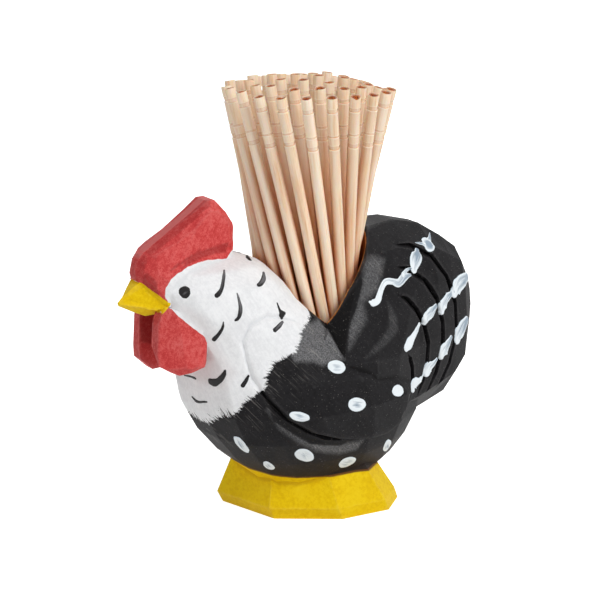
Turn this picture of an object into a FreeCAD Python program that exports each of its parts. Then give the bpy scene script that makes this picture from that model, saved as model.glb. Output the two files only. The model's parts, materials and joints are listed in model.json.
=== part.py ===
"""Toothpick holder whittled as a hen from one block of wood, with the round picks that stand in its back.

The row frame has +Z up, its origin at the middle of the foot's underside, the beak towards -X and the
tail towards +X. Every length is in millimetres.

The hen is one piece of wood. Its masses are faceted lofts: polygon sections whose quads are split along
the outer diagonal, so that each face is flat, as a knife leaves it. The well is one drilled hole. Each
pick is a turned rod with a point, and stands on its own line in a fan that opens upwards.
"""

import FreeCAD
import Part

import math
import os
import random

Vector = FreeCAD.Vector

# ---- driving dimensions ---------------------------------------------------------------------------
WELL_RADIUS = 11.5
WELL_FLOOR_Z = 19.15
WELL_MOUTH_Z = 75.0  # the drill enters above every part of the back

# Trunk, neck and head, level by level: height, breast end, back end, where it is widest, half width,
# and the exponent of the outline, where 2 is an ellipse and more is squarer.
TRUNK_LEVELS = (
    (6.5, -11.6, 15.2, 0.0, 9.6, 2.25),
    (9.0, -14.4, 18.4, 0.0, 11.8, 2.25),
    (13.0, -18.8, 20.9, -0.5, 14.6, 2.25),
    (18.0, -23.2, 23.1, -1.5, 16.8, 2.25),
    (24.0, -26.5, 24.4, -3.0, 18.2, 2.25),
    (30.0, -27.5, 18.0, -4.5, 17.9, 2.25),
    (35.0, -28.4, 5.0, -8.0, 16.0, 2.25),
    (40.0, -30.6, 2.4, -13.0, 13.6, 2.25),
    (45.0, -34.2, -4.4, -18.0, 11.2, 2.6),
    (49.0, -35.4, -9.0, -21.0, 9.9, 2.8),
    (52.0, -33.2, -12.6, -22.5, 7.6, 2.5),
    (53.5, -30.0, -17.2, -23.0, 4.2, 2.25),
)
TRUNK_SIDES = 16
KNIFE_WANDER = 0.016  # how far a corner strays, as a share of its distance from the middle

# Wing: the cut round its front and underside, as distance back, height and depth, then the rest of its
# side view, up behind and over.
WING_CUT = (
    (-7.0, 39.2, -0.3),
    (-10.6, 41.6, 0.7),
    (-16.2, 43.2, 0.9),
    (-20.0, 42.2, 0.9),
    (-21.6, 39.4, 0.9),
    (-21.2, 36.0, 0.9),
    (-20.4, 32.3, 1.0),
    (-18.2, 28.4, 1.2),
    (-14.3, 23.7, 1.6),
    (-9.3, 20.3, 1.8),
    (-3.1, 17.9, 1.8),
    (3.5, 16.7, 1.6),
    (8.6, 16.8, -0.3),
)
WING_REAR = ((11.6, 18.2), (14.9, 21.2), (16.5, 24.9), (16.4, 28.2), (14.0, 32.0), (4.0, 38.0))
WING_RELIEF = ((18.0, 1.5), (27.0, 1.2), (35.0, -0.6))  # height, how far it stands out of the flank
WING_CUT_FLARES = (1.0, 7.5)  # of the wedge, on the wing's side and away from it

# Tail, station by station: distance back, underside, top, half widths from the ridge down.
TAIL_HEIGHTS = (1.0, 0.90, 0.70, 0.42, 0.15, 0.0)  # shares of the height at which the half widths hold
TAIL_STATIONS = (
    (-5.0, 22.0, 47.0, (7.0, 10.5, 13.5, 16.2, 16.6, 12.0)),
    (5.0, 17.0, 53.8, (6.0, 10.8, 13.4, 17.6, 16.9, 9.0)),
    (11.5, 15.0, 55.4, (4.0, 9.6, 12.7, 15.8, 15.1, 8.0)),
    (18.5, 15.2, 55.6, (2.4, 7.6, 11.0, 12.8, 12.2, 6.0)),
    (25.5, 16.7, 53.8, (1.8, 6.6, 9.2, 10.4, 9.9, 4.8)),
    (31.0, 18.1, 50.5, (1.6, 5.2, 7.2, 8.2, 7.7, 4.0)),
    (35.0, 21.7, 47.6, (1.5, 4.0, 5.5, 6.3, 5.9, 3.2)),
    (38.2, 31.0, 41.4, (1.4, 2.2, 2.8, 3.2, 3.0, 2.0)),
)

# The notch between neck and tail: the inner end of its bottom line, and the normals of its two faces.
NOTCH_TOP = (-2.7, -10.7, 40.3)
NOTCH_TAIL_NORMAL = (-0.577, -0.631, 0.456)
NOTCH_NECK_NORMAL = (1.0, -0.8, 0.775)
TAIL_FRONT = ((-0.8, 0.0, 42.2), (-0.73, 0.0, 0.68))

# Feather grooves on the tail's flank: centre, radius, first and last angle from level, depth.
FEATHER_GROOVES = (
    ((13.5, 34.5), 17.8, -50.0, 90.0, 1.0),
    ((10.3, 32.8), 16.1, -48.0, 82.0, 1.1),
    ((6.7, 30.3), 14.6, -40.0, 68.0, 1.1),
    ((8.0, 26.0), 8.4, -60.0, 46.0, 1.0),
)
FEATHER_FLARES = (2.8, 2.8)
GROOVE_STROKES = 7  # straight knife strokes along each groove
GROOVE_RUN_OUT = -0.3  # depth at both ends, just clear of the surface
GROOVE_HEIGHT = 5.0  # the cutting wedge reaches this far out from its bottom line, to its stated flares

# Comb, station by station: distance back, then half width and height of its ridge, bevel, crease,
# cheek and root.
COMB_STATIONS = (
    (-38.3, (0.6, 53.6), (0.9, 53.1), (1.1, 52.6), (1.2, 52.1), (0.8, 51.5)),
    (-37.1, (0.9, 55.8), (2.3, 54.5), (2.9, 52.8), (3.2, 51.4), (2.0, 49.6)),
    (-35.2, (1.0, 57.0), (3.4, 56.0), (4.6, 52.6), (5.0, 49.6), (3.6, 47.0)),
    (-33.6, (1.2, 58.0), (3.7, 56.9), (5.0, 52.9), (6.0, 51.2), (5.6, 46.4)),
    (-31.0, (1.4, 59.6), (4.0, 57.9), (4.8, 54.1), (6.0, 52.7), (5.2, 47.0)),
    (-26.5, (1.8, 62.4), (4.0, 60.5), (3.7, 55.1), (5.3, 53.8), (4.4, 50.0)),
    (-23.4, (2.1, 64.5), (3.4, 62.8), (3.3, 55.4), (4.8, 53.8), (4.0, 50.0)),
    (-21.8, (2.1, 64.5), (3.2, 62.6), (3.1, 55.4), (4.5, 53.6), (3.6, 50.0)),
    (-19.4, (2.1, 61.9), (3.0, 60.4), (2.8, 55.3), (3.9, 53.4), (3.0, 50.0)),
    (-18.2, (1.8, 60.2), (2.4, 58.9), (2.3, 55.2), (2.9, 53.1), (2.2, 50.0)),
    (-17.6, (1.5, 59.5), (1.9, 58.6), (1.7, 57.2), (1.5, 56.4), (1.2, 55.6)),
)

# Beak, from its root inside the head to its blunt tip: distance back, top, bottom, half width and the
# height of its two side edges.
BEAK_STATIONS = (
    (-31.5, 56.4, 45.2, 5.4, 45.6),
    (-35.8, 52.6, 43.7, 3.6, 46.1),
    (-38.4, 50.3, 44.9, 2.2, 46.4),
    (-41.4, 47.3, 46.5, 0.4, 46.9),
)

# Wattle: its side view, and how far its two faces lie from the middle of the head.
WATTLE_OUTLINE = (
    (-34.4, 46.6),
    (-35.7, 43.0),
    (-36.0, 37.0),
    (-35.7, 34.6),
    (-33.2, 32.2),
    (-30.6, 32.3),
    (-28.4, 33.3),
    (-27.4, 35.6),
    (-27.4, 38.6),
    (-28.5, 41.4),
    (-31.2, 44.9),
)
WATTLE_FACES = (2.4, 8.8)

# Foot: corners of its underside, in order round the hen, then its other two levels.
FOOT_CORNERS = (
    (-15.2, 7.2),
    (-11.6, -6.4),
    (-0.5, -13.9),
    (10.0, -14.7),
    (15.5, -10.0),
    (16.0, 2.0),
    (12.4, 10.8),
    (1.6, 14.2),
    (-9.4, 12.8),
)
FOOT_LEVELS = ((0.0, 1.0, 0.0), (2.4, 1.01, -1.1), (9.6, 0.80, -1.9))  # height, share of the underside, shift

# Picks: each ring's radius in pick spacings, its number of picks, and how far round it they start.
PICK_RINGS = ((0.577, 3, 0.76), (1.577, 9, 0.0), (2.577, 15, 0.45), (3.577, 21, 0.72))
PICK_LENGTH = 65.0
PICK_RADIUS = 1.05
PICK_SIDES = 12  # a milled pick keeps slight flats
PICK_POINT = 10.0  # length of the sharpened end
PICK_SPACING = 2.3
PICK_CENTRE_X = -0.4
PICK_WAIST_Z = 36.0  # the bundle is tightest here, and opens upwards
PICK_SPREAD = 0.004  # growth of a ring's radius for each millimetre up
PICK_TWIST = 0.0315  # the same sideways: the bundle twists as it opens
PICK_LEAN = 0.0215  # the whole bundle leans back against the tail
PICK_WANDER = 0.03
PICK_CLEARANCE = 0.05  # a point stands at least this far above the well's floor
PICK_LIFT = 0.7  # and at most this much further, held up by its neighbours
PICK_STAND = 1.35  # the middle picks rest this much higher on their crowded points
PICK_CROWN = 0.7  # the tops fall this much from the middle of the bundle to either end
PICK_RAKE = 0.42  # and this much from the middle towards the tail
PICK_TILT = 0.34  # and this much from the middle towards the hen's right
PICK_TOPS_RADIUS = 16.0  # half the width of the bundle at its tops

# A pick from its point up: height, radius. Two V grooves are turned into its head.
PICK_PROFILE = (
    (0.0, 0.15),
    (PICK_POINT, PICK_RADIUS),
    (PICK_LENGTH - 9.6, PICK_RADIUS),
    (PICK_LENGTH - 9.0, 0.88),
    (PICK_LENGTH - 8.4, PICK_RADIUS),
    (PICK_LENGTH - 3.4, PICK_RADIUS),
    (PICK_LENGTH - 2.7, 0.88),
    (PICK_LENGTH - 2.0, PICK_RADIUS),
    (PICK_LENGTH, PICK_RADIUS),
)

OUT = "parts"


# ---- helpers --------------------------------------------------------------------------------------
def flat_faces_between(lower, upper):
    """Triangles between two polygons with as many corners, each quad split along its outer diagonal."""
    middle = sum(lower + upper, Vector()) * (0.5 / len(lower))
    faces = []
    count = len(lower)
    for i in range(count):
        a, b = lower[i], lower[(i + 1) % count]
        d, c = upper[i], upper[(i + 1) % count]
        if ((a + c) * 0.5 - middle).Length > ((b + d) * 0.5 - middle).Length:
            corners = ((a, b, c), (a, c, d))
        else:
            corners = ((a, b, d), (b, c, d))
        faces += [Part.Face(Part.makePolygon(list(t) + [t[0]])) for t in corners]
    return faces


def whittled(sections):
    """A solid of flat faces through closed polygon sections that each lie in a plane."""
    faces = []
    for lower, upper in zip(sections, sections[1:]):
        faces += flat_faces_between(lower, upper)
    for end in (sections[0], sections[-1]):
        faces.append(Part.Face(Part.makePolygon(end + [end[0]])))
    solid = Part.makeSolid(Part.makeShell(faces))
    if solid.Volume < 0:
        solid.reverse()
    return solid


def prism(outline, low_y, high_y):
    """A side-view outline, as (x, z) pairs, sawn through from low_y to high_y."""
    points = [Vector(x, low_y, z) for x, z in outline]
    return Part.Face(Part.makePolygon(points + [points[0]])).extrude(Vector(0, high_y - low_y, 0))


def half_space(point, normal, size=120.0):
    """A block that fills the side of a plane that its normal points to."""
    block = Part.makeBox(size, size, size, Vector(-size / 2, -size / 2, 0))
    block.Placement = FreeCAD.Placement(point, FreeCAD.Rotation(Vector(0, 0, 1), normal))
    return block


def shaved(solid, cuts):
    """The solid after flat knife cuts, each given as a point and the outward normal there."""
    for point, normal in cuts:
        solid = solid.cut(half_space(Vector(*point), Vector(*normal)))
    return solid


# ---- the hen --------------------------------------------------------------------------------------
def wing_relief(z):
    """How far the wing stands out of the flank at a height, straight lines between the stated heights."""
    for (low, low_out), (high, high_out) in zip(WING_RELIEF, WING_RELIEF[1:]):
        if z <= high:
            share = max(0.0, (z - low) / (high - low))
            return low_out + share * (high_out - low_out)
    return WING_RELIEF[-1][1]


def trunk_sections(relief=None):
    """The trunk's levels as polygons. relief, a function of height, adds to each half width."""
    knife = random.Random(11)
    sections = []
    for z, front, back, widest, half, squareness in TRUNK_LEVELS:
        power = 2 / squareness
        out = relief(z) if relief else 0.0
        corners = []
        for i in range(TRUNK_SIDES):
            turn = 2 * math.pi * (i + 0.5) / TRUNK_SIDES
            along, across = math.cos(turn), math.sin(turn)
            reach = (back - widest) if along > 0 else (widest - front)
            stray = 1 + KNIFE_WANDER * knife.uniform(-1, 1)
            x = widest + math.copysign(abs(along) ** power, along) * reach * stray
            y = math.copysign(abs(across) ** power, across) * (half * stray + out)
            corners.append(Vector(x, y, z))
        sections.append(corners)
    return sections


def trunk():
    """Breast, belly, neck and head."""
    return whittled(trunk_sections())


def wings():
    """Both wings: the side-view lobe sawn through a slightly thicker trunk."""
    outline = [(x, z) for x, z, _ in WING_CUT] + list(WING_REAR)
    reach = 25.0
    return prism(outline, -reach, reach).common(whittled(trunk_sections(wing_relief)))


def mirrored(x, half_section):
    """A closed section across the hen from its near half, given as half widths and heights."""
    near = [Vector(x, -y, z) for y, z in half_section]
    far = [Vector(x, y, z) for y, z in reversed(half_section)]
    return near + far


def tail_sections():
    """The tail's stations as polygons."""
    sections = []
    for x, low, high, halves in TAIL_STATIONS:
        half_section = [(half, low + share * (high - low)) for half, share in zip(halves, TAIL_HEIGHTS)]
        sections.append(mirrored(x, half_section))
    return sections


def tail():
    """The upright tail, with the slope of its front behind the well."""
    return shaved(whittled(tail_sections()), (TAIL_FRONT,))


def notch(side):
    """The wedge cut out between neck and tail on one flank. side is -1 or 1."""
    across = Vector(1, -side, 1)
    corner = Vector(*NOTCH_TOP).scale(*across)
    tail_face = half_space(corner, Vector(*NOTCH_TAIL_NORMAL).scale(*across))
    neck_face = half_space(corner, Vector(*NOTCH_NECK_NORMAL).scale(*across))
    return tail_face.common(neck_face)


def flank(solid, x, z, side):
    """How far out the solid's surface lies on one flank, at a distance back and a height."""
    needle = Part.makeLine(Vector(x, 0, z), Vector(x, side * 40.0, z))
    return max(abs(vertex.Y) for vertex in solid.common(needle).Vertexes)


def groove(solid, path, side, flares):
    """The wedge that cuts a V groove along a path of (x, z, depth), anticlockwise seen from the hen's left.

    flares are the wedge's half widths at its open side, within the path's curve and outside it.
    """
    sections = []
    for i, (x, z, depth) in enumerate(path):
        before = path[max(i - 1, 0)]
        after = path[min(i + 1, len(path) - 1)]
        outward = Vector(after[1] - before[1], 0, before[0] - after[0]).normalize()
        bottom = Vector(x, side * (flank(solid, x, z, side) - depth), z)
        mouth = bottom + Vector(0, side * GROOVE_HEIGHT, 0)
        sections.append([bottom, mouth - outward * flares[0], mouth + outward * flares[1]])
    return whittled(sections)


def arc_path(centre, radius, first, last, depth):
    """Points of a feather groove along an arc. The first and last strokes run out."""
    path = []
    for stroke in range(GROOVE_STROKES + 1):
        turn = math.radians(first + (last - first) * stroke / GROOVE_STROKES)
        at_end = stroke in (0, GROOVE_STROKES)
        x = centre[0] + radius * math.cos(turn)
        z = centre[1] + radius * math.sin(turn)
        path.append((x, z, GROOVE_RUN_OUT if at_end else depth))
    return path


def foot():
    """The flared foot, cut to nine uneven sides."""
    sections = []
    for z, share, shift in FOOT_LEVELS:
        sections.append([Vector(x * share + shift, y * share, z) for x, y in FOOT_CORNERS])
    return whittled(sections)


def comb():
    """The comb: one thick blade, wider at its root, bevelled along its ridge and round its front."""
    return whittled([mirrored(station[0], station[1:]) for station in COMB_STATIONS])


def beak():
    """The beak: four flat faces that narrow to a blunt tip."""
    sections = []
    for x, top, bottom, half, edge_z in BEAK_STATIONS:
        sections.append([Vector(x, 0, top), Vector(x, -half, edge_z), Vector(x, 0, bottom), Vector(x, half, edge_z)])
    return whittled(sections)


def wattle(side):
    """One of the two wattles that hang under the beak. side is -1 for the hen's left and 1 for its right."""
    inner, outer = WATTLE_FACES
    lobe = prism(WATTLE_OUTLINE, min(side * inner, side * outer), max(side * inner, side * outer))
    cuts = (
        ((-35.9, side * 4.6, 40.0), (-0.62, side * 0.78, 0.05)),
        ((-32.0, side * 7.7, 39.0), (-0.34, side * 0.93, 0.10)),
        ((-34.6, side * 5.6, 34.2), (-0.45, side * 0.66, -0.60)),
        ((-30.0, side * 7.8, 33.6), (0.0, side * 0.80, -0.60)),
        ((-27.5, side * 8.1, 36.0), (0.70, side * 0.70, -0.10)),
    )
    if side < 0:
        cuts += (
            ((-35.4, -3.4, 36.6), (-0.62, 0.62, -0.48)),
            ((-32.2, -6.8, 33.1), (-0.6, -0.1, -1.0)),
            ((-32.2, -6.8, 33.1), (0.35, -0.1, -1.0)),
        )
    return shaved(lobe, cuts)


def well():
    """The drilled hole that holds the picks."""
    return Part.makeCylinder(WELL_RADIUS, WELL_MOUTH_Z - WELL_FLOOR_Z, Vector(0, 0, WELL_FLOOR_Z))


def carved_body():
    """The whole hen, one piece of wood."""
    block = trunk().multiFuse([wings(), tail(), foot(), comb(), beak(), wattle(-1), wattle(1)])
    cuts = [well()]
    for side in (-1, 1):
        cuts.append(notch(side))
        cuts.append(groove(block, WING_CUT, side, WING_CUT_FLARES))
        cuts += [groove(block, arc_path(*feather), side, FEATHER_FLARES) for feather in FEATHER_GROOVES]
    hen = block
    for tool in cuts:
        hen = hen.cut(tool)
    return hen.removeSplitter()


# ---- the picks ------------------------------------------------------------------------------------
def pick():
    """A turned pick that stands on its point at the origin."""
    sections = []
    for height, radius in PICK_PROFILE:
        corners = []
        for i in range(PICK_SIDES):
            turn = 2 * math.pi * i / PICK_SIDES
            corners.append(Vector(radius * math.cos(turn), radius * math.sin(turn), height))
        sections.append(corners)
    return whittled(sections).removeSplitter()


def pick_lines():
    """Each pick's foot and direction. One spread and one twist open every ring, so no two lines meet."""
    hand = random.Random(3)
    lift = random.Random(5)
    lines = []
    for radius, count, start in PICK_RINGS:
        for i in range(count):
            turn = 2 * math.pi * (i + start) / count
            x = radius * PICK_SPACING * math.cos(turn) + hand.uniform(-1, 1) * PICK_WANDER
            y = radius * PICK_SPACING * math.sin(turn) + hand.uniform(-1, 1) * PICK_WANDER
            slope = Vector(x * PICK_SPREAD + y * PICK_TWIST + PICK_LEAN, y * PICK_SPREAD - x * PICK_TWIST, 1)
            waist = Vector(PICK_CENTRE_X + x, y, PICK_WAIST_Z)
            top = (Vector(x, y, 0) + slope * (PICK_LENGTH - 16.0)) / PICK_TOPS_RADIUS
            stand = PICK_STAND - PICK_CROWN * top.x**2 - PICK_RAKE * top.x - PICK_TILT * top.y
            raised = PICK_CLEARANCE + PICK_LIFT * lift.random() ** 2 + max(0.0, stand)
            fall = PICK_WAIST_Z - WELL_FLOOR_Z - raised
            lines.append((waist - slope * fall, slope.normalize()))
    return lines


# ---- output ---------------------------------------------------------------------------------------
def save(name, shape):
    """Writes one node's STEP file."""
    shape.exportStep(os.path.join(OUT, name + ".step"))
    print(f"{name}: {len(shape.Solids)} solid, {len(shape.Faces)} faces, {shape.Volume / 1000:.1f} cm3")


def main():
    """Builds every node."""
    os.makedirs(OUT, exist_ok=True)
    save("carved_body", carved_body())
    upright = pick()
    for number, (stand, slope) in enumerate(pick_lines(), start=1):
        leaning = upright.copy()
        leaning.Placement = FreeCAD.Placement(stand, FreeCAD.Rotation(Vector(0, 0, 1), slope))
        save(f"pick_{number:02d}", leaning)


main()
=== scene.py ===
"""Dressed model of a whittled and painted hen that holds a bundle of round toothpicks.

The hen looks along -X, its tail is at +X and it stands on z = 0. Sizes are written in millimetres, as on a
carver's rule, and turn to metres through MM.
"""

import json
import logging
import math
import random
from collections.abc import Callable, Iterable, Sequence
from dataclasses import dataclass
from enum import Enum

import bmesh
import bpy
import numpy as np
from mathutils import Matrix, Vector
from mathutils.bvhtree import BVHTree


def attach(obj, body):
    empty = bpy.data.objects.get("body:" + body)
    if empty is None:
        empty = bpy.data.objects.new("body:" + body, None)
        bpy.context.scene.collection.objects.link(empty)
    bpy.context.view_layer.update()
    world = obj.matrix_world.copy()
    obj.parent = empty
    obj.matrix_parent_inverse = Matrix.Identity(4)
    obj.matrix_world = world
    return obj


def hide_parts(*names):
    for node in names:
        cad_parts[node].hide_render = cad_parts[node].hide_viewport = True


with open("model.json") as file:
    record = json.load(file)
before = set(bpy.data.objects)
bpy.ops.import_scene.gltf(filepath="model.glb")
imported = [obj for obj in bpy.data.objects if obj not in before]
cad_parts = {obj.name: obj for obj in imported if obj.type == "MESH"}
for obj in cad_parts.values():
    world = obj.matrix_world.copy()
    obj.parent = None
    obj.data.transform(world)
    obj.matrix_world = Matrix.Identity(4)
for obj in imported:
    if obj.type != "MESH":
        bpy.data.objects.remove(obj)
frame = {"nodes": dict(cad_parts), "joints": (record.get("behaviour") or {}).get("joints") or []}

LOG = logging.getLogger("hen")
MM = 0.001

Point = tuple[float, float, float]
Outline = tuple[tuple[float, float], ...]
Value = float | Sequence[float] | bpy.types.NodeSocket


# ---- shared helpers ---------------------------------------------------------------------------------
def linear(code: str) -> tuple[float, float, float, float]:
    """Turns an sRGB hex colour into the linear colour that a shader mixes.

    Args:
        code: The colour as six hex digits after a hash.

    Returns:
        Red, green, blue and alpha, linear.
    """
    shares = [int(code[i : i + 2], 16) / 255 for i in (1, 3, 5)]
    lit = [s / 12.92 if s <= 0.04045 else ((s + 0.055) / 1.055) ** 2.4 for s in shares]
    return (lit[0], lit[1], lit[2], 1.0)


def socket(sockets: Iterable[bpy.types.NodeSocket], key: str | int) -> bpy.types.NodeSocket:
    """Finds a socket of a node.

    Args:
        sockets: The node's inputs or outputs.
        key: The socket's number, or its name among those that are in use.

    Returns:
        The socket.
    """
    if isinstance(key, int):
        return sockets[key]
    return next(s for s in sockets if s.name == key and s.enabled)


def feed(tree: bpy.types.NodeTree, node: bpy.types.Node, inputs: dict[str | int, Value]) -> None:
    """Sets or links a node's inputs.

    Args:
        tree: The node tree that holds it.
        node: The node.
        inputs: Each input socket's value, or the output socket that feeds it.
    """
    for key, value in inputs.items():
        target = socket(node.inputs, key)
        if isinstance(value, bpy.types.NodeSocket):
            tree.links.new(value, target)
        else:
            target.default_value = value


def add_node(
    tree: bpy.types.NodeTree, kind: str, inputs: dict[str | int, Value] | None = None, **settings: object
) -> bpy.types.Node:
    """Adds one node with its settings and links.

    Args:
        tree: The node tree that gets it.
        kind: The node's type name.
        inputs: Each input socket's value, or the output socket that feeds it.
        settings: The node's own properties.

    Returns:
        The new node.
    """
    made = tree.nodes.new(kind)
    for name, setting in settings.items():
        setattr(made, name, setting)
    feed(tree, made, inputs or {})
    return made


class Shader:
    """A material while it is being mixed: its tree, its surface, and the place on the piece in millimetres."""

    def __init__(self, name: str, coordinates: str = "Object") -> None:
        """Starts an empty material.

        Args:
            name: The material's name.
            coordinates: Which texture coordinate gives the place on the piece.
        """
        self.material = bpy.data.materials.new(name)
        self.material.use_nodes = True
        self.tree = self.material.node_tree
        self.tree.nodes.clear()
        self.surface = add_node(self.tree, "ShaderNodeBsdfPrincipled")
        add_node(self.tree, "ShaderNodeOutputMaterial", {"Surface": self.surface.outputs["BSDF"]})
        place = add_node(self.tree, "ShaderNodeTexCoord").outputs[coordinates]
        self.place = self.add("ShaderNodeVectorMath", {"Vector": place, "Scale": 1 / MM}, operation="SCALE")

    def add(
        self, kind: str, inputs: dict[str | int, Value] | None = None, output: str | int = "", **settings: object
    ) -> bpy.types.NodeSocket:
        """Adds one node and gives the output that the next node takes.

        Args:
            kind: The node's type name.
            inputs: Its values and links.
            output: The wanted output's name or number, or nothing for the first in use.
            settings: The node's own properties.

        Returns:
            The output socket.
        """
        made = add_node(self.tree, kind, inputs, **settings)
        if output != "":
            return socket(made.outputs, output)
        return next(s for s in made.outputs if s.enabled)

    def attribute(self, name: str) -> bpy.types.NodeSocket:
        """Reads one number per vertex, such as the distance to a paint edge."""
        return self.add("ShaderNodeAttribute", output="Fac", attribute_name=name)

    def drawn_out(self, direction: Point, along: float, across: float) -> bpy.types.NodeSocket:
        """Coordinates that make a pattern long in one direction, as a brush or the grain does.

        Args:
            direction: The way the bristles or fibres run.
            along: Pattern cells per millimetre along them.
            across: Pattern cells per millimetre across them.

        Returns:
            The vector for a texture whose scale is 1.
        """
        way = Vector(direction).normalized()
        reach = self.add("ShaderNodeVectorMath", {0: self.place, 1: way}, operation="DOT_PRODUCT", output="Value")
        reach = self.add("ShaderNodeMath", {0: reach, 1: along - across}, operation="MULTIPLY")
        shift = self.add("ShaderNodeVectorMath", {"Vector": way, "Scale": reach}, operation="SCALE")
        wide = self.add("ShaderNodeVectorMath", {"Vector": self.place, "Scale": across}, operation="SCALE")
        return self.add("ShaderNodeVectorMath", {0: wide, 1: shift}, operation="ADD")

    def finish(self, inputs: dict[str | int, Value]) -> bpy.types.Material:
        """Sets the surface's values and links.

        Args:
            inputs: The surface shader's sockets.

        Returns:
            The finished material.
        """
        feed(self.tree, self.surface, inputs)
        return self.material


def new_piece(
    name: str, mesh: bpy.types.Mesh, body: str, material: bpy.types.Material
) -> bpy.types.Object:
    """Puts a mesh into the scene as a smooth, dressed piece that moves with a body.

    Args:
        name: The piece's name.
        mesh: Its mesh, in metres.
        body: The body it rides on.
        material: Its finish.

    Returns:
        The new object.
    """
    piece = bpy.data.objects.new(name, mesh)
    bpy.context.scene.collection.objects.link(piece)
    mesh.materials.clear()
    mesh.materials.append(material)
    mesh.shade_smooth()
    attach(piece, body)
    return piece


def set_numbers(mesh: bpy.types.Mesh, name: str, values: np.ndarray) -> None:
    """Stores one number, or one vector, per vertex.

    Args:
        mesh: The mesh that gets them.
        name: The name the finish reads them by.
        values: One row per vertex.
    """
    kind, field = ("FLOAT_VECTOR", "vector") if values.ndim == 2 else ("FLOAT", "value")
    made = mesh.attributes.new(name, kind, "POINT")
    made.data.foreach_set(field, values.astype(np.float32).ravel())


# ---- finishes ---------------------------------------------------------------------------------------
@dataclass(frozen=True)
class Ramp:
    """An even change from one value to another while a number runs from a start to an end."""

    start: float
    end: float
    low: float = 0.0  # the value at the start and before it
    high: float = 1.0  # the value at the end and past it

    def of(self, number: Value) -> dict[str | int, Value]:
        """The inputs of a node that maps a number along this ramp.

        Args:
            number: The number.

        Returns:
            Each input's name and value.
        """
        return {
            "Value": number,
            "From Min": self.start,
            "From Max": self.end,
            "To Min": self.low,
            "To Max": self.high,
        }


@dataclass(frozen=True)
class Coat:
    """One colour of artists' acrylic, brushed on thinly. Its streaks and its worn edges show the brush."""

    body: str
    light: str  # where the coat is thin
    deep: str  # where it lies thicker
    worn: str  # on the arrises that hands have rubbed
    crease: str  # painted shade in a cut, partly paint pooled there, and on the shaded facets
    roughness: float
    bristles: Point  # the way the brush ran
    streaks: float  # share of the tone that the brush streaks give
    wear: float  # how far a rubbed arris takes the worn colour
    speckle: float  # how strongly the paint's tooth shows
    pooling_and_shade: float  # how far a crease takes the crease colour: painted shade, partly pooled paint


class Zone(Enum):
    """The painted zones of the hen, and the vertex numbers that say how deep inside each one a place is."""

    BLACK = "black_depth"
    RED = "red_depth"
    YELLOW = "yellow_depth"
    BARE = "bare_depth"


WHITE_COAT = Coat(
    body="#EBECEE", light="#F5F6F7", deep="#E2E3E5", worn="#F8F8F8", crease="#DADBDE", roughness=0.6,
    bristles=(-0.5, 0.1, 0.85), streaks=0.3, wear=0.3, speckle=0.10, pooling_and_shade=0.45,
)
COATS = {
    Zone.BLACK: Coat(
        body="#141315", light="#1F1E20", deep="#0C0B0D", worn="#343334", crease="#060506", roughness=0.6,
        bristles=(0.66, 0.0, -0.75), streaks=0.3, wear=0.45, speckle=0.5, pooling_and_shade=1.0,
    ),
    Zone.RED: Coat(
        body="#CF4846", light="#DC6966", deep="#BA3638", worn="#DC827F", crease="#6A1618", roughness=0.55,
        bristles=(0.5, 0.1, 0.85), streaks=0.2, wear=0.18, speckle=0.6, pooling_and_shade=0.4,
    ),
    Zone.YELLOW: Coat(
        body="#F0C904", light="#F6D31A", deep="#E3B600", worn="#F6DC6C", crease="#BD8A08", roughness=0.55,
        bristles=(0.3, 0.9, 0.2), streaks=0.2, wear=0.12, speckle=0.2, pooling_and_shade=0.4,
    ),
    Zone.BARE: Coat(
        body="#B4713A", light="#C98A50", deep="#8A4C22", worn="#C98A50", crease="#5E2A12", roughness=0.7,
        bristles=(0.0, 0.0, 1.0), streaks=0.5, wear=0.2, speckle=0.4, pooling_and_shade=0.5,
    ),
}


@dataclass(frozen=True)
class Ground:
    """What every coat shares at a place on the wood, each a number from 0 to 1 unless it says otherwise."""

    cloud: bpy.types.NodeSocket  # broad cloudiness of the coats
    mottle: bpy.types.NodeSocket  # cloudiness over the raised grain
    grit: bpy.types.NodeSocket  # the paint's tooth, from -0.5 to 0.5
    rubbed: bpy.types.NodeSocket  # how far an arris is rubbed
    pooled_and_shaded: bpy.types.NodeSocket  # how deep in a crease the place is, for its painted shade and partly pooled paint
    shade: bpy.types.NodeSocket  # how much painted shade a facet gets


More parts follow.
